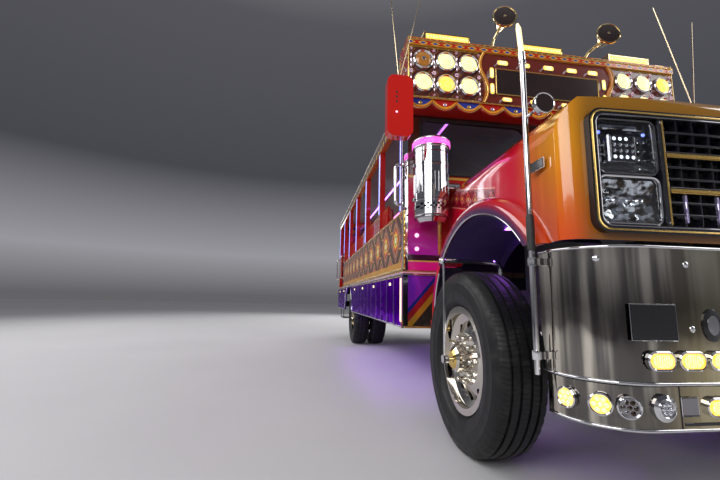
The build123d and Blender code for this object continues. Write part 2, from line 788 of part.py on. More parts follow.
def hood_form(inset, y_rear, z_low):
    """Outer form of the hood, or its inside when inset by the skin's thickness."""
    half = hood_half - inset
    front = hood_front + inset
    nose = hood_section(hood_front, half, hood_shoulder, hood_edge_half - inset * 0.6, hood_edge - inset,
                        hood_crown - inset, z_low)
    tail = hood_section(body_front + 30, hood_rear_half - inset, hood_rear_shoulder,
                        hood_rear_edge_half - inset * 0.6, hood_rear_edge - inset, hood_rear_crown - inset, z_low)
    body = loft([nose, tail], ruled=True)
    ahead = hood_section(hood_front - 60, half, hood_shoulder, hood_edge_half - inset * 0.6, hood_edge - inset,
                         hood_crown - inset, z_low)
    body = body + loft([ahead, nose], ruled=True)
    mid = nose_corner * (1 - cos(radians(45)))
    crown = 22
    plan = [ThreePointArc((inset - nose_half, front + crown), (0, front), (nose_half - inset, front + crown)),
            ThreePointArc((nose_half - inset, front + crown), (half - mid, front + crown + mid),
                          (half, front + crown + nose_corner)),
            Line((half, front + crown + nose_corner), (half, y_rear)), Line((half, y_rear), (-half, y_rear)),
            Line((-half, y_rear), (-half, front + crown + nose_corner)),
            ThreePointArc((-half, front + crown + nose_corner), (mid - half, front + crown + mid),
                          (inset - nose_half, front + crown))]
    body = body & plan_prism(make_face(plan), (z_low, hood_rear_crown + 100))
    bend = nose_round - inset
    drop = bend * (1 - cos(radians(45)))
    top = hood_crown + 14 - inset
    high = hood_rear_crown + 100
    side = [Line((front, z_low), (front, top - bend)),
            ThreePointArc((front, top - bend), (front + drop, top - drop), (front + bend, top)),
            Line((front + bend, top), (y_rear, high)), Line((y_rear, high), (y_rear, z_low)),
            Line((y_rear, z_low), (front, z_low))]
    return body & side_prism(make_face(side), (-half - 50, half + 50))


def flare_form(inset):
    """Drum over both front wheels that the fender flares are cut from."""
    radius = arch_r + flare_w - inset
    half = flare_half - inset
    drum = Pos(0, front_axle_y, arch_z) * Rot(0, 90, 0) * Cylinder(radius, 2 * half)
    return fillet(drum.edges().filter_by(GeomType.CIRCLE), flare_round - inset)


def arch_cut():
    right = bar((-flare_half - 50, front_axle_y, arch_z), (50 - hood_rear_edge_half, front_axle_y, arch_z), arch_r)
    return right + other_side(right)


def hood_shell():
    """The hood's skin, open over both wheels, with the hinge lugs inside its nose."""
    inner = hood_form(hood_skin, hood_rear + 20, hood_low - 20)
    shell = (hood_form(0, hood_rear, hood_low) - inner) - arch_cut()
    grille_hole = front_prism(Pos(0, (surround_low + surround_high) / 2)
                              * RectangleRounded(2 * (surround_half - surround_bar) + 12,
                                                 surround_high - surround_low - 2 * surround_bar + 12,
                                                 opening_round),
                              (hood_front - 60, hood_front + 200))
    shell = shell - grille_hole
    x_low = hinge_bracket_x + hinge_bracket_t / 2 + seat_gap
    lug = slab((x_low, x_low + 12), (hood_front + hood_skin / 2, hood_pivot_y + 22), (hood_low + 3, hood_pivot_z + 22))
    lug = lug - bar((x_low - 5, hood_pivot_y, hood_pivot_z), (x_low + 20, hood_pivot_y, hood_pivot_z),
                    hinge_pin_r + pin_play)
    return fuse(shell, *both(lug))


def fender_flares():
    """The fenders' flares over the wheels, joined to the hood's sides and tilting with it."""
    band = (flare_form(0) - flare_form(hood_skin)) - arch_cut()
    band = band & slab((hood_rear_edge_half, flare_half + 10), (hood_front, hood_rear), (hood_low, hood_crown))
    flare = band - hood_form(-seat_gap, hood_rear + 20, hood_low - 20)
    return both(flare.solids().sort_by(SortBy.VOLUME)[-1])


def cowl():
    """Firewall box behind the hood, with the fixed lower ends of the fenders."""
    y = (hood_rear + panel_gap, body_front)
    form = hood_form(hood_skin + 8, body_front, hood_low - 15) & slab((-hood_half, hood_half), y, (0, hood_rear_crown))
    sides = both(slab((hood_rear_half - 50, hood_rear_half - 20), y, (560, hood_low)))
    ring = flare_form(0) - flare_form(hood_skin) - arch_cut()
    low_end = ring & slab((hood_rear_half - 20, flare_half + 10), (front_axle_y + 500, hood_rear),
                          (560, hood_low - panel_gap))
    joined = slab((hood_rear_half - 30, hood_rear_half - 10), y, (560, hood_low - panel_gap))
    web = slab((hood_rear_half - 20, flare_half - 10), (hood_rear - 24, hood_rear + 8), (560, 700))
    return fuse(form, *sides) + fuse(*both(low_end + joined + web))


# Grille surround with its bars, and the headlamp units beside them

def nose_layer(front, back):
    """Slice of space that follows the hood's crowned face, from front to back of it."""
    form = hood_form(0, hood_rear, hood_low)
    return (Pos(0, -front, 0) * form) - (Pos(0, -back, 0) * form)


def grille():
    z_mid = (surround_low + surround_high) / 2
    height = surround_high - surround_low
    y = (hood_front - 100, hood_front + 150)
    opening = RectangleRounded(2 * (surround_half - surround_bar), height - 2 * surround_bar, opening_round)
    frame = RectangleRounded(2 * surround_half, height, surround_round) - opening
    ring = front_prism(Pos(0, z_mid) * frame, y) & nose_layer(grille_depth, 0)
    low, high = surround_low + surround_bar, surround_high - surround_bar
    grid = []
    for side in (1, -1):
        x = sorted((side * grid_half, side * (grid_half + grid_post)))
        grid.append(slab(x, y, (low - 5, high + 5)) & nose_layer(grille_depth - 4, -30))
    tier_h = (high - low) / grille_tiers
    span = (-grid_half - 5, grid_half + 5)
    ribs = [slab(span, y, (low + tier * tier_h - 13, low + tier * tier_h + 13)) for tier in range(1, grille_tiers)]
    grid.append(fuse(*ribs) & nose_layer(grille_depth - 2, -30))
    slats = [slab(span, y, (low + (tier + step / 3) * tier_h - 5, low + (tier + step / 3) * tier_h + 5))
             for tier in range(grille_tiers) for step in (1, 2)]
    grid.append(fuse(*slats) & nose_layer(grille_depth - 12, -24))
    pitch = 2 * grid_half / grille_bars
    uprights = [slab((-grid_half + i * pitch - 4, -grid_half + i * pitch + 4), y, (low - 5, high + 5))
                for i in range(1, grille_bars)]
    grid.append(fuse(*uprights) & nose_layer(grille_depth - 16, -20))
    return fuse(ring, *grid)


def headlamps():
    """Lamp units that fill the surround's bays, a light unit above a reflector unit."""
    low, high = surround_low + surround_bar + seat_gap, surround_high - surround_bar - seat_gap
    x = (grid_half + grid_post + seat_gap, surround_half - surround_bar - seat_gap)
    z_split = low + 0.46 * (high - low)
    units = []
    for z in ((low, z_split), (z_split + 2 * seat_gap, high)):
        shape = Pos(sum(x) / 2, sum(z) / 2) * RectangleRounded(x[1] - x[0], z[1] - z[0], opening_round)
        unit = front_prism(shape, (hood_front - 100, hood_front + 150)) & nose_layer(grille_depth - 12, -45)
        units += both(unit)
    return units


# Front bumper: a wraparound plate with a stepped lip

def wrap_plate(half, front, corner, z, thickness):
    def solid(inset):
        block = slab((-half + inset, half - inset), (front + inset, bumper_back + 300), z)
        edges = [e for e in block.edges().filter_by(Axis.Z) if e.center().Y < front + inset + 1]
        return fillet(edges, corner - inset)
    shell = solid(0) - solid(thickness)
    return shell & slab((-2000, 2000), (front - 100, bumper_back), z)


def front_bumper():
    main = wrap_plate(bumper_half, bumper_front, bumper_corner, (bumper_low, bumper_top), bumper_t)
    lip = wrap_plate(bumper_half - lip_step, bumper_front + lip_step, bumper_corner - lip_step,
                     (lip_low, bumper_low + 20), bumper_t)
    shelf = wrap_plate(bumper_half - bumper_t / 2, bumper_front + bumper_t / 2, bumper_corner - bumper_t / 2,
                       (bumper_low, bumper_low + bumper_t), lip_step + 8)
    plate = main + lip + shelf
    for side in (1, -1):
        x = sorted((side * (rail_outer - 50), side * rail_outer))
        plate = plate + slab(x, (bumper_front + 5, rail_front), (740, 900))
    return plate


bumper_led_xs = (515, 645, 775)
bumper_led_z = 660
lip_led_x = 527
lip_lamp_x = 760
lip_corner_angles = (25, 46, 75)
lip_lamp_z = 490


def bumper_lamps():
    lamps = []
    for x in bumper_led_xs:
        shape = RectangleRounded(118, 72, 34)
        lamps += both(front_prism(Pos(x, bumper_led_z) * shape, (front_y, bumper_front)))
    lip_y = bumper_front + lip_step
    lamps += both(front_prism(Pos(lip_led_x, lip_lamp_z) * RectangleRounded(118, 72, 34), (lip_y - 14, lip_y)))
    lamps += both(turned([(0, 0), (0, 48), (12, 48), (18, 34), (18, 0)], lip_lamp_x, lip_y, lip_lamp_z, "-Y"))
    corner_x = bumper_half - bumper_corner
    corner_y = bumper_front + bumper_corner
    reach = bumper_corner - lip_step + seat_gap
    for turn in lip_corner_angles:
        out = Vector(sin(radians(turn)), -cos(radians(turn)), 0)
        face = Vector(corner_x, corner_y, lip_lamp_z) + out * reach
        lamps += both(bar(tuple(face), tuple(face + out * 16), 40))
    return lamps


pole_x = flare_half + 22
pole_y = bumper_back - 30
pole_r = 13
pole_top = 2010


def guide_poles():
    pole = bar((pole_x, pole_y, 560), (pole_x, pole_y, pole_top), pole_r)
    pole = pole + Pos(pole_x, pole_y, pole_top) * Sphere(18)
    for z in (640, 1040):
        pole = pole + slab((bumper_half, pole_x), (pole_y - 22, pole_y + 22), (z - 15, z + 15))
    disc_y = pole_y - 150
    stalk = bar((pole_x, pole_y, 1720), (pole_x, disc_y + 12, 1720), 7)
    disc = bar((pole_x, disc_y, 1720), (pole_x, disc_y + 24, 1720), 45)
    return both(pole + stalk + disc)


# Marquee: the lamp board over the windscreen

def marquee_box():
    profile = [(marquee_front, marquee_low), (marquee_front, marquee_top - 12), (marquee_front + 30, marquee_top),
               (body_front, marquee_top), (body_front, marquee_low)]
    return side_prism(make_face(Polyline(*profile, close=True)), (-marquee_half, marquee_half))


def marquee_lamps():
    lamps = []
    for x in lamp_columns:
        for z in lamp_rows:
            bezel = [(0, 0), (0, lamp_r), (26, lamp_r), (34, lamp_r - 10), (22, lamp_r - 20), (30, 40), (33, 0)]
            lamps += both(turned(bezel, x, marquee_front, z, "-Y"))
    # Oblong markers round the centre panel: x, z, width, height
    markers = ((0, 2945, 110, 52), (230, 2945, 110, 52), (440, 2945, 110, 52), (545, 2840, 46, 110),
               (545, 2690, 46, 110), (410, 2600, 100, 46), (150, 2600, 100, 46))
    for x, z, width, height in markers:
        shape = Pos(x, z) * RectangleRounded(width, height, 20)
        marker = front_prism(shape, (marquee_front - 22, marquee_front))
        lamps += [marker] if x == 0 else both(marker)
    return lamps


scallops = 12
valance_drop = 95


def marquee_trim():
    """Scalloped valance, top moulding and the two S-shaped mouldings of the board."""
    pitch = 2 * marquee_half / scallops
    edges = [Line((-marquee_half, marquee_low), (-marquee_half, marquee_low - 30))]
    for i in range(scallops):
        x0 = -marquee_half + i * pitch
        edges.append(ThreePointArc((x0, marquee_low - 30), (x0 + pitch / 2, marquee_low - valance_drop),
                                   (x0 + pitch, marquee_low - 30)))
    edges += [Line((marquee_half, marquee_low - 30), (marquee_half, marquee_low)),
              Line((marquee_half, marquee_low), (-marquee_half, marquee_low))]
    valance = front_prism(make_face(edges), (marquee_front, marquee_front + 22))
    top = slab((-marquee_half, marquee_half), (marquee_front - 22, marquee_front), (marquee_top - 95, marquee_top - 55))
    z0, z1, z2 = marquee_low + 6, (marquee_low + marquee_top) / 2 - 30, marquee_top - 100
    low_arc = ThreePointArc((640, z0), (600, (z0 + z1) / 2), (630, z1))
    high_arc = ThreePointArc((630, z1), (665, (z1 + z2) / 2), (625, z2))
    wide = 30
    low_back = ThreePointArc((640 - wide, z0), (600 - wide, (z0 + z1) / 2), (630 - wide, z1))
    high_back = ThreePointArc((630 - wide, z1), (665 - wide, (z1 + z2) / 2), (625 - wide, z2))
    face = make_face([low_arc, high_arc, low_back, high_back, Line((640, z0), (640 - wide, z0)),
                      Line((625, z2), (625 - wide, z2))])
    return [valance, top] + both(front_prism(face, (marquee_front - 18, marquee_front)))


def roof_lamps():
    """Light bars, marker lamps and the two searchlights on the marquee's top."""
    y = (marquee_front + 60, marquee_front + 150)
    lamps = []
    for x in (380 - marquee_half, 0, marquee_half - 380):
        lamps.append(slab((x - 210, x + 210), y, (marquee_top + 18, marquee_top + 95))
                     + slab((x - 150, x + 150), (y[0] + 20, y[1] - 20), (marquee_top, marquee_top + 20)))
    for x in (60 - marquee_half, -560, -330, 330, 560, marquee_half - 60):
        lamps.append(slab((x - 45, x + 45), (y[0] - 10, y[0] + 30), (marquee_top, marquee_top + 30)))
    # The searchlights, as columns: foot x, head x, head height over the marquee
    for foot_x, head_x, head_h in ((-480, -390, 270), (450, 650, 235)):
        foot = (foot_x, y[0] + 45, marquee_top)
        knee = (foot_x + (head_x - foot_x) * 0.35, y[0] + 45, marquee_top + head_h * 0.5)
        head = (head_x, y[0] - 20, marquee_top + head_h)
        stalk = bent_tube([(foot[0], foot[1], foot[2] + 8), knee, head], 14, 50)
        aim = Plane(origin=head, z_dir=(-0.2, -1, 0.1))
        profile = make_face(Polyline((0, -90), (30, -80), (100, 60), (108, 60), (108, 75), (0, 75), close=True))
        bowl = revolve(Plane.XZ * profile, Axis.Z)
        lamps.append(stalk + aim.location * bowl + bar(foot, (foot[0], foot[1], foot[2] + 12), 32))
    return lamps


# Wing mirrors hung at the marquee's corners, with a pair of whip aerials each

def mirrors():
    shape = RectangleRounded(2 * mirror_half, mirror_top - mirror_low, 60)
    housing = front_prism(Pos(mirror_x, (mirror_low + mirror_top) / 2) * shape,
                          (mirror_y - mirror_depth / 2, mirror_y + mirror_depth / 2))
    arm_y = marquee_front + 90
    for z in (mirror_top - 85, mirror_top - 35):
        arm = [(marquee_half, arm_y, z), (mirror_x, arm_y, z), (mirror_x, mirror_y, z)]
        housing = housing + bent_tube(arm, 12, 40)
    foot = (mirror_x, mirror_y + 10, mirror_top - 8)
    whips = bar(foot, (mirror_x + 90, mirror_y + 10, mirror_top + 900), 4)
    whips = whips + bar(foot, (mirror_x - 260, mirror_y + 60, mirror_top + 1050), 4)
    return both(housing + whips)


def air_cleaner():
    y = body_front - cleaner_r - cleaner_gap
    r = cleaner_r
    height = cleaner_top - cleaner_low
    profile = [(0, 0), (0, r - 40), (60, r), (height - 90, r), (height - 90, r + 14), (height - 30, r + 14),
               (height, r - 30), (height, 0)]
    can = turned(profile, cleaner_x, y, cleaner_low, "Z")
    for z in (cleaner_low + 180, cleaner_low + 480):
        can = can + bar((cleaner_x, y, z), (cleaner_x, y, z + 26), r + 3)
        can = can + slab((cleaner_x - 70, cleaner_x + 70), (y + 60, body_front), (z - 2, z + 28))
    duct_y = body_front - 75
    duct = bent_tube([(cleaner_x + 60, duct_y, 1850), (-700, duct_y, 1850), (-700, duct_y, 1600)], 42, 90)
    return (can + duct) - cowl()


def grab_rails():
    def rail(y, low, high):
        x = body_half + 70
        return bent_tube([(body_half, y, low), (x, y, low), (x, y, high), (body_half, y, high)], 13, 30)

    rails = both(rail(body_front + front_wall_t / 2, 1700, 2070))
    return rails + [other_side(rail(y, 1300, 1800)) for y in post_ys[-2:]]


def rear_bumper():
    beam = slab((100 - body_half, body_half - 100), (rear_y - 80, rear_y - 20), (640, 780))
    for side in (1, -1):
        x = sorted((side * (rail_outer - 60), side * (rail_outer - 12)))
        beam = beam + slab(x, (rail_rear, rear_y - 75), (rail_z + 5, 775))
    return beam


def tail_lamps():
    lamps = []
    for z in (1280, 1440):
        lamps += both(turned([(0, 0), (0, 60), (16, 60), (24, 40), (24, 0)], body_half - 120, body_rear, z, "Y"))
    return lamps


nodes = {
    "chassis_frame": chassis_frame(),
    "hood_hinges": hood_hinges(),
    "springs": springs(),
    "front_axle": [front_axle()],
    "rear_axle": [rear_axle()],
    "tie_rod": [tie_rod()],
    "engine_block": [engine_block()],
    "radiator": [radiator()],
    "drive_shaft": [drive_shaft()],
    "fuel_tank": [fuel_tank()],
    "exhaust": [exhaust()],
    "floor_deck": floor_deck(),
    "side_posts": side_posts(),
    "door_post": [door_post()],
    "low_panels": low_panels(),
    "eave_rails": eave_rails(),
    "front_wall": [front_wall()],
    "windscreen": windscreen(),
    "rear_wall": [rear_wall()],
    "roof_shell": [roof_shell()],
    "roof_rack": [roof_rack()],
    "rear_ladder": [rear_ladder()],
    "skirts": skirts(),
    "benches": benches(),
    "driver_seat": [driver_seat()],
    "dashboard": [dashboard()],
    "steering_wheel": [steering_wheel()],
    "driver_door": [driver_door()],
    "entry_steps": entry_steps(),
    "hood_shell": [hood_shell()],
    "fender_flares": fender_flares(),
    "cowl": [cowl()],
    "grille": [grille()],
    "headlamps": headlamps(),
    "front_bumper": [front_bumper()],
    "bumper_lamps": bumper_lamps(),
    "guide_poles": guide_poles(),
    "marquee_box": [marquee_box()],
    "marquee_lamps": marquee_lamps(),
    "marquee_trim": marquee_trim(),
    "roof_lamps": roof_lamps(),
    "mirrors": mirrors(),
    "air_cleaner": [air_cleaner()],
    "grab_rails": grab_rails(),
    "rear_bumper": [rear_bumper()],
    "tail_lamps": tail_lamps(),
}

left_knuckle = knuckle()
twin = (tyre_w + twin_gap) / 2
for side, name in ((1, "left"), (-1, "right")):
    nodes["knuckle_" + name] = [left_knuckle if side > 0 else other_side(left_knuckle)]
    nodes["front_tyre_" + name] = [Pos(0, front_axle_y, 0) * tyre(front_wheel_x, side)]
    nodes["front_rim_" + name] = [Pos(0, front_axle_y, 0) * front_rim(side)]
    nodes["rear_tyres_" + name] = [Pos(0, rear_axle_y, 0) * tyre(rear_wheel_x + s * twin, side) for s in (-1, 1)]
    nodes["rear_rims_" + name] = [Pos(0, rear_axle_y, 0) * rear_rims(side)]

os.makedirs("parts", exist_ok=True)
for name, shapes in nodes.items():
    save(name, *shapes)
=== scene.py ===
import math
import bmesh
import bpy
from mathutils import Matrix, Vector


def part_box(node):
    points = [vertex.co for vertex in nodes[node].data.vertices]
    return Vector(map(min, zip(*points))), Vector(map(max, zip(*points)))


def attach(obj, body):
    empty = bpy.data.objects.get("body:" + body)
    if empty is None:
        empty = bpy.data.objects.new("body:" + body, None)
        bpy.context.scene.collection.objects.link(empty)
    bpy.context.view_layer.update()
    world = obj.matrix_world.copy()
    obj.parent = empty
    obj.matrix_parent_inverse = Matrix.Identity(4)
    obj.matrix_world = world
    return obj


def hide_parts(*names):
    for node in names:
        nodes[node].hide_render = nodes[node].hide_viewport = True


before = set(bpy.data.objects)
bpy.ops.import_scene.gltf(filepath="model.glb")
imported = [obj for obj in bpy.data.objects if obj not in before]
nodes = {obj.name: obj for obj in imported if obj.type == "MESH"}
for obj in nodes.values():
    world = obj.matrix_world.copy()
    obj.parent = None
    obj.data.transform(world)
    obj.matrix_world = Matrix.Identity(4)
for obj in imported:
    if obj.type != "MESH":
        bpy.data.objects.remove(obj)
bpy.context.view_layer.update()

# Places that several sections share, in metres: the two axle lines and the height of the wheels' centres, the
# centre height of the front fenders' openings, and the painted faces of the front wall and of the sides. Then
# the directions that fittings face.
front_axle, rear_axle, wheel_z = -3.3, 1.9, 0.52
fender_z = 0.67
wall_y, side_x = -2.3405, 1.25
forward, backward, upward = (0, -1, 0), (0, 1, 0), (0, 0, 1)

# The view: a wide lens held low, ahead of the bus's front right corner and looking along its side.
scene = bpy.context.scene
scene.view_settings.view_transform = "Standard"
lens = bpy.data.cameras.new("camera")
lens.sensor_width = 36
lens.lens = 18.74
lens.clip_end = 200
camera = bpy.data.objects.new("camera", lens)
scene.collection.objects.link(camera)
scene.camera = camera
yaw, pitch, roll = 0.1385, 0.1530, 0.0215
look = Vector((math.sin(yaw) * math.cos(pitch), math.cos(yaw) * math.cos(pitch), math.sin(pitch)))
turn = look.to_track_quat("-Z", "Y").to_matrix() @ Matrix.Rotation(roll, 3, "Z")
camera.matrix_world = Matrix.Translation((-2.075, -5.500, 0.866)) @ turn.to_4x4()


# The studio: a pale concrete floor with a faint cloudiness, an even grey sky and three soft lamps. The
# object's own lit lamps add their glow.
class Value:
    """A socket of a material's nodes. Arithmetic on it adds Math nodes, and node() adds any other."""

    def __init__(self, tree, socket=None):
        self.tree = tree
        self.socket = socket

    def feed(self, socket, value):
        if isinstance(value, Value):
            self.tree.links.new(value.socket, socket)
        elif socket.type == "RGBA" and len(value) == 3:
            socket.default_value = (*value, 1)
        else:
            socket.default_value = value

    def node(self, kind, settings=None, inputs=None, output=0):
        made = self.tree.nodes.new("ShaderNode" + kind)
        for name, value in (settings or {}).items():
            if name == "stops":
                ramp = made.color_ramp.elements
                ramp[0].position, ramp[0].color = value[0][0], (*value[0][1], 1)
                ramp[1].position, ramp[1].color = value[-1][0], (*value[-1][1], 1)
                for at, color in value[1:-1]:
                    ramp.new(at).color = (*color, 1)
            else:
                setattr(made, name, value)
        for name, value in (inputs or {}).items():
            self.feed(made.inputs[name], value)
        return Value(self.tree, made.outputs[output])

    def math(self, operation, *others):
        return self.node("Math", {"operation": operation}, dict(enumerate((self, *others))))

    def __add__(self, other):
        return self.math("ADD", other)

    def __sub__(self, other):
        return self.math("SUBTRACT", other)

    def __rsub__(self, other):
        return self.node("Math", {"operation": "SUBTRACT"}, {0: other, 1: self})

    def __mul__(self, other):
        return self.math("MULTIPLY", other)

    def __truediv__(self, other):
        return self.math("DIVIDE", other)

    def __gt__(self, other):
        return self.math("GREATER_THAN", other)

    def __lt__(self, other):
        return self.math("LESS_THAN", other)

    def __or__(self, other):
        return self.math("MAXIMUM", other)

    def __abs__(self):
        return self.math("ABSOLUTE")

    __radd__ = __add__
    __rmul__ = __mul__

    def fract(self):
        return self.math("FRACT")

    def sine(self):
        return self.math("SINE")

    def between(self, low, high):
        """A mask that is 1 from low to high."""
        return (self > low) * (self < high)

    def fade(self, low, high):
        """A mask that rises smoothly from 0 at low to 1 at high."""
        return self.node("MapRange", {"interpolation_type": "SMOOTHSTEP"}, {0: self, 1: low, 2: high})

    def mix(self, low, high):
        """The colour low where this mask is 0 and high where it is 1."""
        return self.node("Mix", {"data_type": "RGBA"}, {0: self, 6: low, 7: high}, 2)

    def parts(self):
        made = self.node("SeparateXYZ", None, {0: self})
        return [Value(self.tree, output) for output in made.socket.node.outputs]

    def noise(self, scale, detail=3):
        return self.node("TexNoise", None, {"Vector": self, "Scale": scale, "Detail": detail})

    def stretched(self, x, y, z):
        return self.node("VectorMath", {"operation": "MULTIPLY"}, {0: self, 1: (x, y, z)})

    def turned_in(self, x, y, z):
        """A mask that is 1 on faces turned towards a point, such as the inside of a shell."""
        out = self.node("VectorMath", {"operation": "SUBTRACT"}, {0: self, 1: (x, y, z)})
        face = self.node("TexCoord", output="Normal")
        return self.node("VectorMath", {"operation": "DOT_PRODUCT"}, {0: out, 1: face}, 1) < 0

    def off_axis(self, y, z=wheel_z):
        """Distance from a line across the bus, such as an axle."""
        flat = self.node("VectorMath", {"operation": "MULTIPLY"}, {0: self, 1: (0, 1, 1)})
        return flat.node("VectorMath", {"operation": "DISTANCE"}, {0: flat, 1: (0, y, z)}, 1)


def finish(name, constants, varies=None):
    """A material: constants sit on its main shader, and varies(place) gives what changes over the surface."""
    material = bpy.data.materials.new(name)
    material.use_nodes = True
    shader = material.node_tree.nodes["Principled BSDF"]
    root = Value(material.node_tree)
    sockets = dict(constants)
    if varies:
        sockets.update(varies(root.node("TexCoord", output="Object")))
    if "height" in sockets:
        inputs = {"Distance": sockets.pop("depth"), "Height": sockets.pop("height")}
        sockets["Normal"] = root.node("Bump", None, inputs)
    for socket, value in sockets.items():
        root.feed(shader.inputs[socket], value)
    return material


def concrete(place):
    cloud = place.noise(0.6, 4)
    return {"Base Color": cloud.mix((0.56, 0.55, 0.56), (0.66, 0.65, 0.66)), "Roughness": 0.7 + 0.2 * cloud,
            "height": place.noise(90, 2), "depth": 0.001}


floor_mesh = bpy.data.meshes.new("floor")
floor_mesh.from_pydata([(-40, -40, 0), (40, -40, 0), (40, 40, 0), (-40, 40, 0)], [], [(0, 1, 2, 3)])
floor_mesh.materials.append(finish("studio_floor", {}, concrete))
floor = bpy.data.objects.new("floor", floor_mesh)
scene.collection.objects.link(floor)

world = bpy.data.worlds.new("sky")
scene.world = world
world.use_nodes = True
sky = Value(world.node_tree)
height = sky.node("TexCoord", output="Generated").parts()[2]
sky_stops = ((0.0, (0.14, 0.14, 0.15)), (0.1, (0.34, 0.34, 0.37)), (0.3, (0.07, 0.07, 0.085)),
             (0.62, (0.1, 0.1, 0.115)), (1.0, (0.5, 0.5, 0.52)))
tones = height.node("ValToRGB", {"stops": sky_stops}, {0: height})
sky.feed(world.node_tree.nodes["Background"].inputs["Color"], tones)
world.node_tree.nodes["Background"].inputs["Strength"].default_value = 0.9


def soft_lamp(name, place, aim, size, power):
    lamp = bpy.data.lights.new(name, "AREA")
    lamp.shape = "RECTANGLE"
    lamp.size, lamp.size_y = size
    lamp.energy = power
    stand = bpy.data.objects.new(name, lamp)
    scene.collection.objects.link(stand)
    toward = (Vector(aim) - Vector(place)).to_track_quat("-Z", "Y").to_matrix()
    stand.matrix_world = Matrix.Translation(place) @ toward.to_4x4()


soft_lamp("front_lamp", (-7, -10, 6), (0, -2, 1.5), (8, 5), 600)
soft_lamp("side_lamp", (-10, 2, 7), (0, 0, 1), (12, 4), 580)
soft_lamp("left_lamp", (9, -5, 6), (0, -1, 1.5), (9, 6), 570)
soft_lamp("rear_lamp", (2, 12, 6), (0, 2, 1.5), (9, 5), 520)


# The chassis frame: two rolled channel rails with cross-members, bolted and sprayed in black chassis paint,
# with road dust on it. The hood's hinge brackets are bolted on the rails' front ends.
def circle(count, radius, start=0.0):
    """Points round a circle, as pairs; start is the first one's place in steps."""
    angles = [2 * math.pi * (i + start) / count for i in range(count)]
    return [(radius * math.cos(a), radius * math.sin(a)) for a in angles]


class Shape:
    """Points and faces of a piece, each face with a material number. New points go through self.frame."""

    def __init__(self):
        self.points, self.faces, self.finishes = [], [], []
        self.frame = Matrix.Identity(4)

    def add(self, points, faces, material=0):
        base = len(self.points)
        self.points += [self.frame @ Vector(p) for p in points]
        self.faces += [[base + i for i in face] for face in faces]
        self.finishes += [material] * len(faces)

    def loft(self, rings, material=0, closed=False):
        """Skin over rings of equally many points."""
        count, size = len(rings), len(rings[0])
        faces = [(i * size + j, i * size + (j + 1) % size, (i + 1) % count * size + (j + 1) % size,
                  (i + 1) % count * size + j) for i in range(count - (not closed)) for j in range(size)]
        if not closed:
            faces += [tuple(range(size))[::-1], tuple(range((count - 1) * size, count * size))]
        self.add([p for ring in rings for p in ring], faces, material)

    def lathe(self, profile, steps=32, material=0, closed=False, at=(0, 0, 0)):
        """Turn (radius, height) pairs about a line along the frame's z axis."""
        rings = [[(at[0] + x, at[1] + y, at[2] + h) for x, y in circle(steps, r)] for r, h in profile]
        self.loft(rings, material, closed=closed)

    def turned(self, place, out, *turns):
        """Turned forms about one line through a place: for each a profile, steps, material and closed."""
        self.frame = facing(place, out)
        for turn in turns:
            self.lathe(*turn)
        self.frame = Matrix.Identity(4)

    def prism(self, outline, low, high, material=0):
        """Straight-sided plate from an outline in the frame's x and y, between two heights."""
        self.loft([[(x, y, h) for x, y in outline] for h in (low, high)], material)

    def block(self, low, high, edge, material=0, steps=1):
        """Box with rounded edges."""
        low, high = Vector(low), Vector(high)
        made = bmesh.new()
        bmesh.ops.create_cube(made, size=1)
        for v in made.verts:
            v.co = Vector([(a + b) / 2 + c * (b - a) for a, b, c in zip(low, high, v.co)])
        bmesh.ops.bevel(made, geom=made.edges, offset=edge, segments=steps, affect="EDGES", profile=0.5)
        made.verts.index_update()
        self.add([v.co.copy() for v in made.verts], [[v.index for v in f.verts] for f in made.faces],
                 material)
        made.free()

    def tube(self, points, radius, sides=12, material=0, closed=False):
        """Round bar along points; radius may be a list, one for each point."""
        points = [Vector(p) for p in points]
        count = len(points)
        across = None
        rings = []
        for i, p in enumerate(points):
            ahead = points[(i + 1) % count] if closed or i < count - 1 else p
            behind = points[i - 1] if closed or i > 0 else p
            along = (ahead - behind).normalized()
            if across is None:
                across = along.orthogonal()
            across = (across - along * across.dot(along)).normalized()
            up = along.cross(across)
            r = radius[i] if isinstance(radius, (list, tuple)) else radius
            rings.append([p + across * x + up * y for x, y in circle(sides, r)])
        self.loft(rings, material, closed=closed)

    def piece(self, name, body, *materials, slot=None, angle=38):
        """Makes the object, smooth except over edges sharper than angle, riding on a CAD body."""
        mesh = bpy.data.meshes.new(name)
        mesh.from_pydata([tuple(p) for p in self.points], [], self.faces)
        for material in materials:
            mesh.materials.append(material)
        mesh.polygons.foreach_set("material_index", self.finishes)
        made = bmesh.new()
        made.from_mesh(mesh)
        bmesh.ops.recalc_face_normals(made, faces=made.faces)
        made.to_mesh(mesh)
        made.free()
        mesh.shade_smooth()
        mesh.set_sharp_from_angle(angle=math.radians(angle))
        thing = bpy.data.objects.new(name, mesh)
        scene.collection.objects.link(thing)
        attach(thing, body)
        return thing


def facing(place, out):
    """A frame at a place whose z axis points out."""
    return Matrix.Translation(place) @ Vector(out).to_track_quat("Z", "Y").to_matrix().to_4x4()


def upright(place, out):
    """A frame whose z axis points out, level, and whose y axis points up."""
    out = Vector(out).normalized()
    across = Vector((0, 0, 1)).cross(out).normalized()
    turned = Matrix((across, out.cross(across), out)).transposed()
    return Matrix.Translation(place) @ turned.to_4x4()


def dress(material, *names):
    """Gives CAD nodes their finish."""
    for name in names:
        nodes[name].data.materials.clear()
        nodes[name].data.materials.append(material)


def road_dust(place, color, rough, share=0.6):
    """A colour and roughness with dust that thickens towards the road."""
    cloud = place.noise(7, 6)
    x, y, z = place.parts()
    dust = (1 - z.fade(0.1, 1.1)) * cloud.fade(0.35, 0.75) * share
    return {"Base Color": dust.mix(color, (0.16, 0.12, 0.09)), "Roughness": rough + 0.35 * dust + 0.1 * cloud}


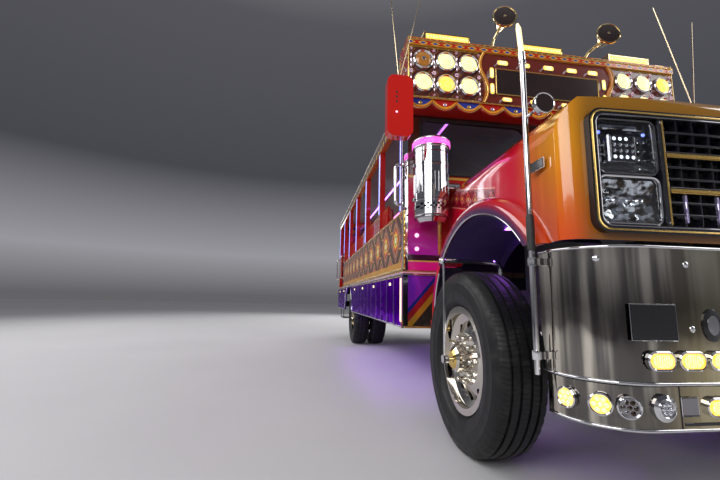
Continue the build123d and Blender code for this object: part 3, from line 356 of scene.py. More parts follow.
def chassis_coat(place):
    look = road_dust(place, place.noise(2, 3).mix((0.018, 0.018, 0.02), (0.04, 0.038, 0.038)), 0.42)
    return {**look, "height": place.noise(60, 4), "depth": 0.0008}


chassis_black = finish("chassis_black", {"Coat Weight": 0.2}, chassis_coat)
dress(chassis_black, "chassis_frame", "hood_hinges", "entry_steps")
bolt_steel = finish("bolt_steel", {"Metallic": 0.9, "Base Color": (0.34, 0.33, 0.32)},
                    lambda place: {"Roughness": 0.3 + 0.3 * place.noise(40, 3)})


def bolt(shape, place, direction, size, material=0, cap=True):
    """Hexagon head on a washer, or a plain hexagon nut."""
    shape.frame = facing(place, direction)
    shape.lathe([(size * 1.15, 0), (size * 1.15, size * 0.12)], 16, material)
    shape.lathe([(size, size * 0.1), (size, size * 0.7), (size * 0.86, size * 0.8)], 6, material)
    if cap:
        shape.lathe([(size * 0.5, size * 0.75), (size * 0.5, size * 1.2), (size * 0.3, size * 1.35)], 10,
                    material)
    shape.frame = Matrix.Identity(4)


rail_x = 0.43
frame_low, frame_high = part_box("chassis_frame")
bolts = Shape()
for i in range(26):
    y = frame_low.y + 0.12 + i * (frame_high.y - frame_low.y - 0.5) / 25
    for side in (-1, 1):
        for z in (0.745, 0.905):
            bolt(bolts, (side * rail_x, y, z), (side, 0, 0), 0.012)
bolts.piece("frame_bolts", "chassis", bolt_steel)
lines = Shape()
for side, z, r in ((1, 0.935, 0.011), (1, 0.91, 0.008), (-1, 0.93, 0.009), (-1, 0.905, 0.008)):
    route = [(side * (rail_x - 0.022 - r), y / 10, z + 0.004 * math.sin(y * 1.7)) for y in range(-36, 36)]
    lines.tube(route, r, 8)
lines.piece("frame_air_lines", "chassis", finish("pipe_black", {"Base Color": (0.02, 0.02, 0.02)},
                                                 lambda place: {"Roughness": 0.4 + 0.2 * place.noise(30)}))


# Leaf springs: packs of rolled steel leaves, each shorter than the one above, held by U-bolts on the axle
# and hung from the rails by shackles.
def spring_steel(place):
    x, y, z = place.parts()
    rust = place.stretched(1, 1, 3).noise(14, 6).fade(0.45, 0.7)
    return {"Base Color": rust.mix((0.05, 0.05, 0.055), (0.13, 0.07, 0.045)), "Roughness": 0.5 + 0.3 * rust,
            "height": place.noise(80, 3), "depth": 0.0006}


def leaf_pack(shape, side, axle_y, seat, reach, leaves):
    """Bowed leaves that get shorter downwards, with the eyes, shackle plates and clips at both ends."""
    x = side * spring_x
    top, end = seat + 0.07, 0.66
    for i in range(leaves):
        half = reach * (1 - 0.8 * i / leaves)
        steps = [axle_y - half + 2 * half * k / 20 for k in range(21)]
        rings = []
        for y in steps:
            z = top + (end - top) * ((y - axle_y) / reach) ** 2 - i * 0.07 / leaves
            rings.append([(x - 0.035, y, z), (x + 0.035, y, z), (x + 0.035, y, z - 0.0085),
                          (x - 0.035, y, z - 0.0085)])
        shape.loft(rings)
    for s in (-1, 1):
        y = axle_y + s * (reach - 0.03)
        shape.tube([(x - 0.037, y, 0.645), (x + 0.037, y, 0.645)], 0.026, 16)
        for inner, outer in ((-0.037, -0.03), (0.03, 0.037)):
            shape.block((x + inner, y - 0.03, 0.64), (x + outer, y + 0.03, 0.702), 0.004)
        clip = axle_y + s * reach * 0.55
        z = top + (end - top) * 0.3
        shape.block((x - 0.04, clip - 0.012, z - 0.05), (x + 0.04, clip + 0.012, z + 0.005), 0.003)


springs = Shape()
spring_x = 0.3925
for side in (-1, 1):
    x = side * spring_x
    leaf_pack(springs, side, front_axle, 0.52, 0.6, 7)
    leaf_pack(springs, side, rear_axle, 0.595, 0.7, 8)
    for y, low, top in ((front_axle, 0.40, 0.6), (rear_axle, 0.44, 0.675)):
        u_bolt = ((-0.046, low), (-0.046, top), (-0.03, top + 0.014), (0.03, top + 0.014), (0.046, top),
                  (0.046, low))
        for dy in (-0.06, 0.06):
            springs.tube([(x + dx, y + dy, z) for dx, z in u_bolt], 0.008, 8)
        springs.block((x - 0.06, y - 0.09, low + 0.006), (x + 0.06, y + 0.09, low + 0.022), 0.004)
        for dy in (-0.06, 0.06):
            for dx in (-0.046, 0.046):
                bolt(springs, (x + dx, y + dy, low + 0.006), (0, 0, -1), 0.013)
leaf_steel = finish("spring_steel", {"Metallic": 0.4}, spring_steel)
made = springs.piece("leaf_spring_packs", "chassis", leaf_steel, slot="cast_grey")
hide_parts("springs")


# Axles and steering: forged and cast steel in grey primer, oily and dusty, with turned knuckles and a tie
# rod on ball joints. Each front knuckle carries the polished tyre air line that reaches over the wheel.
def casting(place):
    look = road_dust(place, place.noise(9, 5).mix((0.045, 0.045, 0.048), (0.09, 0.085, 0.08)), 0.55)
    return {**look, "height": place.noise(130, 4), "depth": 0.0012}


cast_grey = finish("cast_grey", {"Metallic": 0.3}, casting)
dress(cast_grey, "front_axle", "rear_axle", "tie_rod", "drive_shaft")


def chrome_look(place, tint=(0.72, 0.72, 0.74), rough=0.045):
    """Polished plating: faint swirls, water spots and a slight waviness."""
    spots = place.noise(55, 5).fade(0.6, 0.8)
    smear = place.stretched(3, 3, 0.6).noise(3, 4)
    return {"Base Color": (spots * 0.35).mix(tint, (0.5, 0.5, 0.5)),
            "Roughness": rough + 0.05 * smear + 0.12 * spots,
            "height": place.noise(6, 2), "depth": 0.0012}


def knuckle_look(place):
    """Chrome on the air line above and outside the wheel, cast steel on the knuckle itself."""
    x, y, z = place.parts()
    outside = (z > 0.63) | (abs(x) > 1.16)
    bright, dull = chrome_look(place), casting(place)
    return {"Base Color": outside.mix(dull["Base Color"], bright["Base Color"]),
            "Metallic": 0.3 + 0.7 * outside,
            "Roughness": dull["Roughness"] * (1 - outside) + bright["Roughness"] * outside}


knuckle_steel = finish("knuckle_steel", {}, knuckle_look)
dress(knuckle_steel, "knuckle_left", "knuckle_right")
axle_fittings = Shape()
for side in (-1, 1):
    axle_fittings.turned((side * 0.5, 1.78, 0.56), (side * 0.15, -1, 0.1),
                         ([(0, -0.12), (0.03, -0.12), (0.04, -0.08), (0.075, -0.06), (0.085, 0),
                           (0.085, 0.02), (0.075, 0.07), (0.03, 0.09), (0, 0.09)], 28))
axle_fittings.turned((0, 2.03, wheel_z), backward, ([(0.175, -0.01), (0.175, 0.012), (0.14, 0.03),
                                                     (0.05, 0.045), (0, 0.045)], 36))
for x, z in circle(12, 0.163):
    bolt(axle_fittings, (x, 2.04, wheel_z + z), backward, 0.009)
axle_fittings.piece("rear_axle_fittings", "chassis", cast_grey)


# Tyres: tubeless radial truck tyres. The front pair has ribbed steering tread, and the rear twins have
# shouldered drive tread. Black rubber with dust in the grooves and scuffed walls.
def tyre_rubber(name, axle_y, sipes):
    """Rubber for the tyres on one axle, with fine cuts across the tread."""
    def look(place):
        x, y, z = place.parts()
        cloud = place.noise(16, 5)
        dust = cloud.fade(0.48, 0.72) * 0.6
        out = place.off_axis(axle_y)
        turn = (z - wheel_z).math("ARCTAN2", y - axle_y)
        # The cuts are sunk and also painted near black, as shade in them
        cut = (turn * sipes + (x * 46).sine() * 1.5).sine().fade(0.7, 0.95) * (out > 0.5)
        worn = (dust * 0.7).mix((0.006, 0.006, 0.007), (0.03, 0.028, 0.027))
        return {"Base Color": (cut * 0.8).mix(worn, (0.002, 0.002, 0.002)),
                "Roughness": 0.34 + 0.25 * cloud + 0.2 * dust, "height": 0.3 * place.noise(190, 3) - cut,
                "depth": 0.0018}
    return finish(name, {"Specular IOR Level": 0.35}, look)


def tyre_mesh(shape, x, y, side, grooves, notch, turns=216):
    """One tyre about its axle line: bead, wall with its rings, notched shoulder and grooved tread. notch
    gives the shoulder notches' pitch and width in steps, their depth, and how far the grooves sway."""
    pitch, width, deep, sway = notch
    wall = [(-0.094, 0.2862), (-0.094, 0.309), (-0.112, 0.322), (-0.126, 0.335), (-0.129, 0.34),
            (-0.1285, 0.345), (-0.134, 0.365), (-0.1385, 0.392), (-0.1395, 0.398), (-0.1388, 0.402),
            (-0.1392, 0.425), (-0.1375, 0.447), (-0.1385, 0.451), (-0.1365, 0.455), (-0.1335, 0.47),
            (-0.13, 0.4775)]
    shoulder = [(-0.124, 0.491), (-0.1165, 0.503), (-0.107, 0.5095)]
    tread = []
    for g in grooves:
        tread += [(g - 0.0075, 0), (g - 0.0045, -0.012), (g + 0.0045, -0.012), (g + 0.0075, 0)]
    crown = [(a, 0.5195 - 0.55 * a * a + d) for a, d in tread]
    half = [(a, r, 0) for a, r in wall] + [(a, r, 1) for a, r in shoulder]
    profile = half + [(a, r, 2) for a, r in crown] + [(-a, r, zone) for a, r, zone in half[::-1]]
    rings = []
    for i in range(turns):
        angle = 2 * math.pi * i / turns
        low = i % pitch < width
        ring = []
        for a, r, zone in profile:
            if zone == 1 and low:
                r -= deep
                a *= 1 - deep * 3
            if zone == 2:
                a += sway * (1 if (i // (pitch // 2)) % 2 else -1)
            ring.append((x + side * a, y - r * math.sin(angle), wheel_z + r * math.cos(angle)))
        rings.append(ring)
    shape.loft(rings, closed=True)


rubber = tyre_rubber("front_tyre_rubber", front_axle, 132)
drive_rubber = tyre_rubber("rear_tyre_rubber", rear_axle, 90)
wheel_sides = ((1, "left"), (-1, "right"))
for side, name in wheel_sides:
    front = Shape()
    tyre_mesh(front, side * 1.047, front_axle, side, (-0.072, -0.026, 0.026, 0.072), (4, 1, 0.003, 0))
    made = front.piece("front_tyre_tread_" + name, "wheel_front_" + name, rubber, slot="tyre", angle=30)
    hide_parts("front_tyre_" + name)
    rear = Shape()
    for x in (0.72, 1.04):
        tyre_mesh(rear, side * x, rear_axle, side, (-0.062, 0, 0.062), (6, 2, 0.011, 0.003), 180)
    made = rear.piece("rear_tyre_treads_" + name, "wheels_rear_" + name, drive_rubber, slot="tyre", angle=30)
    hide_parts("rear_tyres_" + name)


# Wheels: pressed steel discs and rims in polished chrome, ten domed nuts round a deep hub, cast brake
# drums behind, and a valve stem in one hand hole.
def wheel_chrome(place):
    look = chrome_look(place, (0.72, 0.68, 0.62), 0.05)
    x, y, z = place.parts()
    out = place.off_axis(front_axle)
    # A gold tint on the front hub's middle: painted warm glow from lamp light
    hub = (out < 0.058) * (abs(x) > 1.15)
    return {**look, "Base Color": hub.mix(look["Base Color"], (0.85, 0.6, 0.16)),
            "height": (out * 900).sine() * 0.02 + look["height"], "depth": 0.0006}


def plating(name, tint, rough, metal=1):
    """Plating in a tint of its own."""
    return finish(name, {"Metallic": metal}, lambda place: chrome_look(place, tint, rough))


rim_chrome = finish("rim_chrome", {"Metallic": 1}, wheel_chrome)
hub_gold = plating("hub_gilt", (0.83, 0.66, 0.33), 0.07)
dress(rim_chrome, "front_rim_left", "front_rim_right", "rear_rims_left", "rear_rims_right")
# For each kind: body and name, centre line and axle, stud circle and nut face, the cap's face and radius and
# how far its bolts sit in, and how far the valve stem and the drum are moved along the axle
wheel_kinds = (("wheel_front_", "front_wheel_fittings_", 1.047, front_axle, 0.128, 0.066, 0.162, 0.046,
                0.016, 0.02, 0),
               ("wheels_rear_", "rear_wheel_fittings_", 0.88, rear_axle, 0.1775, -0.06, 0.24, 0.062, 0.012,
                0, -0.11))
for side, name in wheel_sides:
    for body, title, x, y, studs, nut, cap, r, sunk, stem, shift in wheel_kinds:
        fit = Shape()
        out = (side, 0, 0)
        for dy, dz in circle(10, studs):
            fit.turned((side * (x + nut), y + dy, wheel_z + dz), out, ([(0.0225, 0), (0.0225, 0.006)], 20),
                       ([(0.0175, 0.005), (0.0175, 0.024), (0.0165, 0.028)], 6),
                       ([(0.0145, 0.026), (0.0145, 0.034), (0.0125, 0.042), (0.007, 0.047), (0, 0.048)], 14))
        if body == "wheels_rear_":
            dome = [(r, 0), (r, 0.006), (r * 0.85, 0.016), (r * 0.4, 0.024), (0, 0.026)]
            fit.turned((side * (x + cap - 0.001), y, wheel_z), out, (dome, 28, 1))
        for dy, dz in circle(8, r * 1.06, 0.5):
            bolt(fit, (side * (x + cap - sunk), y + dy, wheel_z + dz), out, 0.008, 0, False)
        fit.tube([(side * (x + stem + 0.03), y + 0.2, 0.6), (side * (x + stem + 0.075), y + 0.205, 0.603)],
                 0.005, 8, 1)
        # The drum, open towards the middle of the bus
        drum = ((0.212, -0.112), (0.219, -0.108), (0.216, 0.0), (0.2, 0.006), (0.118, 0.006), (0.118, -0.002),
                (0.198, -0.004), (0.203, -0.112))
        fit.turned((side * x, y, wheel_z), out, ([(radius, h + shift) for radius, h in drum], 48, 2, True))
        fit.piece(title + name, body + name, rim_chrome, hub_gold, cast_grey)


# Engine, radiator and drive line: the engine is a closed mass here, in grey enamel with an oily film; it
# carries its fan, and the radiator has a finned core in pressed tanks.
def enamel(name, color, gloss, coat, grime=0.5):
    """Sprayed enamel under lacquer. color is a colour or a function of the place that gives one."""
    def look(place):
        base = color(place) if callable(color) else color
        fine = place.noise(24, 5)
        x, y, z = place.parts()
        film = place.noise(3, 5).fade(0.4, 0.8) * (1 - z.fade(0.3, 1.5) * 0.7) * grime * 0.4
        return {"Base Color": film.mix(base, (0.12, 0.1, 0.085)),
                "Roughness": gloss + 0.08 * fine + 0.6 * film,
                "height": place.noise(140, 2), "depth": 0.00025}
    return finish(name, {"Coat Weight": coat, "Coat Roughness": 0.06, "Specular IOR Level": 0.25}, look)


engine_grey = enamel("engine_grey", lambda place: place.noise(5, 5).mix(
    (0.1, 0.11, 0.12), (0.17, 0.17, 0.165)), 0.4, 0.1, 1)
dress(engine_grey, "engine_block")


def core_look(place):
    x, y, z = place.parts()
    fins = ((z * 260).fract() > 0.5) * 0.5 + ((x * 90).fract() > 0.82)
    return {"Base Color": fins.mix((0.012, 0.012, 0.013), (0.05, 0.05, 0.052)),
            "Roughness": 0.5 + 0.2 * place.noise(20),
            "height": fins, "depth": 0.0015}


dress(finish("radiator_black", {"Metallic": 0.4}, core_look), "radiator")
engine_bay = Shape()
for low, high, edge in ((1.53, 1.605, 0.018), (0.952, 1.02, 0.015)):
    engine_bay.block((-0.44, -3.965, low), (0.44, -3.875, high), edge, steps=2)
engine_bay.frame = facing((0, -3.87, 1.24), backward)
engine_bay.lathe([(0.285, 0.0), (0.285, 0.075), (0.272, 0.075), (0.272, 0.0)], 40, closed=True)
engine_bay.lathe([(0.055, 0.02), (0.06, 0.09), (0.035, 0.165)], 24)
for c, s in circle(8, 1):
    blade = [(r, r * 0.12 * edge + t, 0.045 + 0.03 * edge) for r, t, edge in
             ((0.05, 0, -1), (0.05, 0, 1), (0.26, 0.02, 1), (0.26, 0.02, -1))]
    engine_bay.loft([[(u * c - v * s, u * s + v * c, h + thick) for u, v, h in blade]
                     for thick in (0, 0.005)])
engine_bay.frame = Matrix.Identity(4)
engine_bay.block((-0.14, -3.62, 1.46), (0.14, -2.72, 1.53), 0.025, 1, 2)
for i in range(7):
    engine_bay.block((-0.13, -3.58 + i * 0.13, 1.53), (0.13, -3.545 + i * 0.13, 1.538), 0.004, 1)
for side, z in ((1, 1.56), (-1, 1.02)):
    engine_bay.tube([(side * 0.34, -3.9, z), (side * 0.37, -3.8, z + 0.01),
                     (side * 0.33, -3.68, z * 0.5 + 0.66),
                     (side * 0.27, -3.62, z * 0.5 + 0.66)], 0.03, 14, 2)
engine_bay.piece("engine_bay_fittings", "chassis", chassis_black, cast_grey, rubber)


# Fuel tank and silencer: the tank is rolled polished aluminium on strapped brackets, and the silencer is
# steel gone brown with heat, with a turned-out tail pipe.
def tank_look(place):
    look = road_dust(place, (0.55, 0.55, 0.57), 0.18, 0.45)
    brushed = place.stretched(1, 0.02, 1).noise(160, 3)
    return {**look, "height": brushed, "depth": 0.0004}


def hot_steel(place):
    x, y, z = place.parts()
    burn = place.stretched(1, 0.4, 1).noise(4, 6).fade(0.35, 0.7)
    return {"Base Color": burn.mix((0.25, 0.23, 0.21), (0.12, 0.06, 0.035)), "Roughness": 0.35 + 0.4 * burn,
            "height": place.noise(90, 4), "depth": 0.0008}


def arc(x, y, radius, start, end, steps):
    """Points along an arc about (x, y), between two angles in degrees."""
    angles = [math.radians(start + (end - start) * k / steps) for k in range(steps + 1)]
    return [(x + radius * math.cos(a), y + radius * math.sin(a)) for a in angles]


tank_metal = finish("tank_metal", {"Metallic": 0.9}, tank_look)
dress(tank_metal, "fuel_tank")
dress(finish("exhaust_steel", {"Metallic": 0.8}, hot_steel), "exhaust")
tank_low, tank_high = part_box("fuel_tank")
tank_fit = Shape()
outline = []
for cx, cz, start in ((0.79, 0.845, 0), (0.54, 0.845, 90), (0.54, 0.605, 180), (0.79, 0.605, 270)):
    outline += arc(cx, cz, 0.094, start, start + 90, 6)
for y in (tank_low.y + 0.2, tank_high.y - 0.2):
    tank_fit.loft([[(x, y - 0.03, z) for x, z in outline], [(x, y + 0.03, z) for x, z in outline]])
    for dy in (-0.018, 0.018):
        bolt(tank_fit, (0.885, y + dy, 0.725), (1, 0, 0), 0.009, 1)
tank_fit.turned((0.8, tank_low.y + 0.42, 0.925), (0.5, 0, 1),
                ([(0.05, -0.02), (0.05, 0.03), (0.056, 0.03), (0.056, 0.055), (0.05, 0.06), (0, 0.062)], 26,
                 1))
tank_fit.piece("fuel_tank_straps", "chassis", chassis_black, bolt_steel)


# Floor: tongue-and-groove hardwood boards over steel bearers, worn pale along the gangway, with a chrome
# and gold edge moulding that shows below the side panels.
def boards(place):
    x, y, z = place.parts()
    board = (x * 8.5).fract()
    number = (x * 8.5).math("FLOOR")
    grain = place.stretched(30, 1.2, 30).noise(3, 6)
    tone = grain.mix((0.13, 0.065, 0.03), (0.3, 0.17, 0.085))
    shade = abs((number * 12.9898).sine())
    worn = (1 - abs(x).fade(0.1, 0.5)) * 0.5
    under = z < 1.075
    wood = worn.mix((shade * 0.4).mix(tone, (0.09, 0.045, 0.025)), (0.42, 0.3, 0.2))
    gap = board.between(0.03, 0.97)
    return {"Base Color": under.mix(gap.mix((0.01, 0.008, 0.006), wood), (0.035, 0.034, 0.034)),
            "Roughness": 0.45 + 0.3 * grain, "height": gap + 0.15 * grain, "depth": 0.002}


dress(finish("deck_wood", {}, boards), "floor_deck")


# Body sides: box-section steel posts and eave rails in red enamel, with painted sheet panels below. Diode
# strips glow blue on the posts, and a twisted rope moulding edges the panels.
def lit(name, color, strength, body=(0.8, 0.8, 0.8)):
    """A lit lens or strip, with brighter diodes in it."""
    pale = tuple(0.8 * c + 0.2 for c in color)
    return finish(name, {"Base Color": body, "Emission Strength": strength, "Roughness": 0.25},
                  lambda place: {"Emission Color": place.noise(70, 2).fade(0.3, 0.7).mix(color, pale)})


def folk(across, up, ground):
    """Painted ornament in a unit cell: a petalled rosette in nested diamonds, on a dark ground."""
    a, b = across.fract() - 0.5, up - 0.5
    far = (a * a + b * b).math("SQRT")
    turn = b.math("ARCTAN2", a)
    petals = far + 0.05 * abs((turn * 4).sine())
    diamond = abs(a) + abs(b)
    leaf = abs((a * 4).sine() * 0.22 - b) < 0.02
    gold, blue, scarlet = (0.75, 0.42, 0.02), (0.015, 0.03, 0.16), (0.72, 0.1, 0.012)
    paint = ground
    for mask, color in ((diamond < 0.47, (0.62, 0.16, 0.01)), (diamond < 0.43, blue), (diamond < 0.37, gold),
                        (diamond < 0.33, (0.3, 0.012, 0.01)), (petals < 0.24, scarlet),
                        (petals < 0.19, (0.85, 0.6, 0.05)), (petals < 0.13, (0.02, 0.22, 0.08)),
                        (far < 0.07, (0.85, 0.75, 0.5)), (diamond > 0.76, gold), (diamond > 0.81, blue),
                        (diamond > 0.88, scarlet), (leaf * diamond.between(0.49, 0.75), (0.75, 0.3, 0.02))):
        paint = mask.mix(paint, color)
    return paint


def side_paint(place):
    x, y, z = place.parts()
    belt = place.stretched(1, 0.15, 1).noise(20, 3).mix((0.42, 0.15, 0.012), (0.72, 0.38, 0.04))
    return (z > 1.19).mix(belt, folk(y * 2.2, (z - 1.185) * 2.2, (0.07, 0.024, 0.014)))


def strap_paint(place):
    """Long bands on an orange ground: blue, gold and red lines with a row of lozenges."""
    x, y, z = place.parts()
    along = (y * 7 + x * 7).fract()
    middle = (z - 2.655) * 22
    lozenge = abs(along - 0.5) * 2 + abs(middle) < 0.8
    return (abs(middle) > 0.86).mix(lozenge.mix((0.03, 0.02, 0.1), (0.8, 0.5, 0.03)), (0.65, 0.1, 0.012))


def shades(scale, low, high):
    """A cloudy mix of two like colours."""
    return lambda place: place.noise(scale, 4).mix(low, high)


red_enamel = enamel("red_enamel", shades(3, (0.36, 0.009, 0.007), (0.5, 0.016, 0.01)), 0.16, 1)
ornament_paint = enamel("ornament_paint", side_paint, 0.34, 0.25)
dress(red_enamel, "side_posts", "door_post")
dress(ornament_paint, "low_panels")
dress(enamel("eave_paint", strap_paint, 0.22, 0.9), "eave_rails")
chrome = finish("chrome", {"Metallic": 1}, chrome_look)
gilt = plating("gilt_trim", (0.72, 0.48, 0.14), 0.16, 0.85)
blue_glow = lit("blue_diodes", (0.05, 0.12, 1.0), 2.2)
violet_glow = lit("violet_diodes", (0.4, 0.03, 1.0), 18.0)
warm_glow = lit("warm_diodes", (1.0, 0.68, 0.16), 1.5)
post_places = (-2.24, -1.205, -0.162, 0.881, 1.924, 2.967, 4.01)


def rope(shape, start, end, radius, material):
    """A moulding twisted from three strands."""
    start, end = Vector(start), Vector(end)
    run = end - start
    count = max(2, int(run.length / 0.014))
    across = run.orthogonal().normalized()
    up = run.normalized().cross(across)
    rings = []
    for i in range(count + 1):
        swell = [radius * (1 + 0.2 * math.cos(3 * (2 * math.pi * k / 12 - i * 0.5))) for k in range(12)]
        rings.append([start + run * i / count + r * (across * x + up * y)
                      for r, (x, y) in zip(swell, circle(12, 1))])
    shape.loft(rings, material)


strips, side_trim, rivets = Shape(), Shape(), Shape()
for side in (-1, 1):
    for y in post_places:
        if side == -1 or y > -2:
            low = 1.66 if y not in (-1.205, 2.967, 4.01) else 1.85
            strips.block((side * side_x - 0.001, y - 0.011, low), (side * (side_x + 0.006), y + 0.011, 2.58),
                         0.002)
            side_trim.block((side * 1.249, y - 0.017, low - 0.012), (side * 1.254, y + 0.017, 2.592), 0.001)
    first = -2.3 if side == -1 else -1.15
    last = 2.93 if side == -1 else 3.98
    for z in (1.122, 1.63):
        rope(side_trim, (side * 1.252, first, z), (side * 1.252, last, z), 0.0085, 1)
        for i in range(int((last - first) / 0.16)):
            rivets.turned((side * 1.2495, first + 0.06 + i * 0.16, z + (0.022 if z < 1.4 else -0.022)),
                          (side, 0, 0), ([(0.0055, 0), (0.005, 0.0015), (0.003, 0.0028), (0, 0.0032)], 8))
    rope(side_trim, (side * 1.244, -2.346, 1.12), (side * 1.244, -2.346, 1.64), 0.011, 1)
    for low, top, mat in ((1.072, 1.083, 0), (1.084, 1.097, 2), (1.098, 1.108, 1)):
        side_trim.block((side * 1.248, -2.35, low), (side * 1.257, 4.088, top), 0.0025, mat)
        side_trim.block((side * 0.88, -2.352, low), (side * 1.254, -2.341, top), 0.0025, mat)
strips.piece("post_light_strips", "chassis", blue_glow)
magenta_trim = enamel("magenta_trim", (0.85, 0.42, 0.56), 0.14, 1, 0.2)
side_trim.piece("side_mouldings", "chassis", chrome, gilt, magenta_trim)
rivets.piece("panel_rivets", "chassis", bolt_steel)


# Front wall and windscreen: pressed steel painted red with a dark visor band over the two flat panes, which
# sit in rubber. Low on the wings the red turns magenta, which is painted lamp light. Chrome angles cover the
# corners, and the wipers rise from the sill.
def front_paint(place):
    x, y, z = place.parts()
    # The wings are red paint turning magenta low down: painted magenta lamp light
    low = z.fade(1.2, 1.75).mix((0.42, 0.015, 0.4), (0.5, 0.008, 0.05))
    low = (abs(x) < 0.905).mix(low, (0.5, 0.01, 0.012))
    paint = (z > 2.53).mix((z > 1.98).mix(low, (0.085, 0.022, 0.014)), (0.03, 0.012, 0.012))
    for bottom, top, color in ((1.1, 1.185, (0.8, 0.012, 0.28)), (1.188, 1.2, (0.7, 0.42, 0.06)),
                               (1.2, 1.25, (0.02, 0.006, 0.03)), (1.95, 1.972, (0.7, 0.42, 0.06))):
        paint = z.between(bottom, top).mix(paint, color)
    return paint


dress(enamel("front_wall_paint", front_paint, 0.18, 1), "front_wall")
glass = finish("window_glass", {"Base Color": (0.3, 0.33, 0.36), "Transmission Weight": 1.0, "IOR": 1.45},
               lambda place: {"Roughness": 0.02 + 0.06 * place.noise(3, 5).fade(0.5, 0.8)})
dress(glass, "windscreen")
gasket = finish("gasket_rubber", {}, lambda place: {
    "Base Color": place.noise(20, 4).mix((0.012, 0.012, 0.013), (0.03, 0.029, 0.028)),
    "Roughness": 0.45 + 0.2 * place.noise(12, 3), "height": place.noise(200, 2), "depth": 0.0004})


def round_loop(half_w, half_h, r, steps=6):
    """Points round a rounded rectangle, counter-clockwise."""
    loop = []
    for cx, cy, start in ((half_w - r, half_h - r, 0), (r - half_w, half_h - r, 90),
                          (r - half_w, r - half_h, 180), (half_w - r, r - half_h, 270)):
        loop += arc(cx, cy, r, start, start + 90, steps)
    return loop


def frame_strip(shape, half_w, half_h, r, section, material=0):
    """A rounded rectangular ring in the frame's x and y; section is (outset, height) points."""
    shape.loft([[(x, y, h) for x, y in round_loop(half_w + out, half_h + out, max(0.004, r + out))]
                for out, h in section], material, closed=True)


seal = ((-0.012, -0.002), (-0.012, 0.006), (-0.002, 0.011), (0.01, 0.009), (0.014, 0.0), (0.014, -0.002))
screen = Shape()
for side in (-1, 1):
    screen.frame = upright((side * 0.5675, wall_y, 2.26), forward)
    frame_strip(screen, 0.5225, 0.26, 0.02, seal)
    screen.frame = Matrix.Identity(4)
    pivot = Vector((side * 0.42, -2.345, 1.965))
    screen.tube([pivot + Vector((0, 0.004, 0)), pivot + Vector((0, -0.022, 0))], 0.012, 14, 1)
    tip = pivot + Vector((side * 0.34, -0.018, 0.2))
    screen.tube([pivot + Vector((0, -0.018, 0)), pivot + Vector((side * 0.12, -0.034, 0.085)), tip],
                [0.007, 0.005, 0.003], 8, 1)
    lean = Vector((side * 0.24, 0, 0.03))
    screen.tube([tip - lean + Vector((0, 0.006, 0)), tip + Vector((0, 0.003, 0.008)),
                 tip + lean + Vector((0, 0.006, 0))], 0.0045, 6)
screen.piece("windscreen_seals_and_wipers", "chassis", gasket, chassis_black)
corners = Shape()
for side in (-1, 1):
    corners.block((side * 1.212, -2.3435, 0.622), (side * 1.2535, wall_y, 2.55), 0.001)
    corners.block((side * 1.2505, -2.3435, 1.112), (side * 1.2535, -2.306, 2.55), 0.001)
    corners.block((side * 1.2485, wall_y, 0.655), (side * 1.2545, -2.262, 1.055), 0.002, 2)
    corners.block((side * 1.2535, -2.325, 0.675), (side * 1.2615, -2.275, 1.04), 0.003, 1)
    corners.block((side * 0.905, -2.345, 1.255), (side * 0.935, wall_y, 1.6), 0.001, 2)
    for z in (1.3, 1.42):
        corners.turned((side * 1.13, wall_y, z), forward,
                       ([(0.019, 0), (0.019, 0.008), (0.014, 0.015), (0, 0.018)], 18, 3))
pink_glow = lit("pink_lamps", (1.0, 0.25, 0.6), 1.6)
corners.piece("corner_trim", "chassis", chrome, warm_glow, gilt, pink_glow)


# Rear wall: sheet steel on the rear posts, painted with a large rosette field and bands, with two open
# windows in chrome frames and a blank plate under a small lamp.
def rear_paint(place):
    x, y, z = place.parts()
    field = folk(x * 1.35 + 0.5, (z - 1.2) * 1.25, (0.05, 0.012, 0.05))
    stripes = (z * 16).fract() < 0.5
    upper = folk(x * 2.6, (z - 2.46) * 5, (0.02, 0.02, 0.12))
    paint = z.between(1.2, 1.8).mix(stripes.mix((0.5, 0.02, 0.02), (0.72, 0.36, 0.03)), field)
    return (z > 2.46).mix((z > 1.84).mix(paint, (0.3, 0.008, 0.02)), upper)


rear_coat = enamel("rear_wall_paint", rear_paint, 0.22, 0.9)
dress(rear_coat, "rear_wall")
back = Shape()
for side in (-1, 1):
    back.frame = upright((side * 0.48, 4.09, 2.15), backward)
    for section, mat in ((((0.001, -0.002), (0.001, 0.009), (0.02, 0.011), (0.03, 0.004), (0.03, -0.002)), 0),
                         (((-0.004, -0.012), (-0.004, 0.004), (0.002, 0.004), (0.002, -0.012)), 1)):
        frame_strip(back, 0.35, 0.28, 0.03, section, mat)
    back.frame = Matrix.Identity(4)
back.block((-0.17, 4.088, 1.2), (0.17, 4.094, 1.365), 0.006, 2)
back.block((-0.18, 4.088, 1.19), (0.18, 4.091, 1.375), 0.003, 0)
back.block((-0.05, 4.088, 1.385), (0.05, 4.112, 1.405), 0.005, 0)
for dx in (-0.14, 0.14):
    bolt(back, (dx, 4.094, 1.345), backward, 0.006, 0, False)
for side in (-1, 1):
    rope(back, (side * 1.243, 4.094, 1.12), (side * 1.243, 4.094, 2.58), 0.009, 3)
plate_blank = enamel("plate_blank", (0.62, 0.6, 0.5), 0.35, 0.3, 1)
back.piece("rear_wall_fittings", "chassis", chrome, gasket, plate_blank, gilt)


# Roof: sheet steel skin in silver grey with rolled ribs across, riveted at the eaves and closed at both ends
# by painted arched panels. The rack and the ladder are chromed tube, the rack has hardwood slats, and strips
# of diodes run under the ceiling.
def roof_look(place):
    x, y, z = place.parts()
    streaks = place.stretched(1, 6, 1).noise(3, 5)
    return {"Base Color": streaks.mix((0.3, 0.3, 0.31), (0.42, 0.41, 0.4)),
            "Roughness": 0.35 + 0.25 * streaks,
            "height": (y * 4).fract().fade(0, 0.08) - (y * 4).fract().fade(0.12, 0.2), "depth": 0.004}


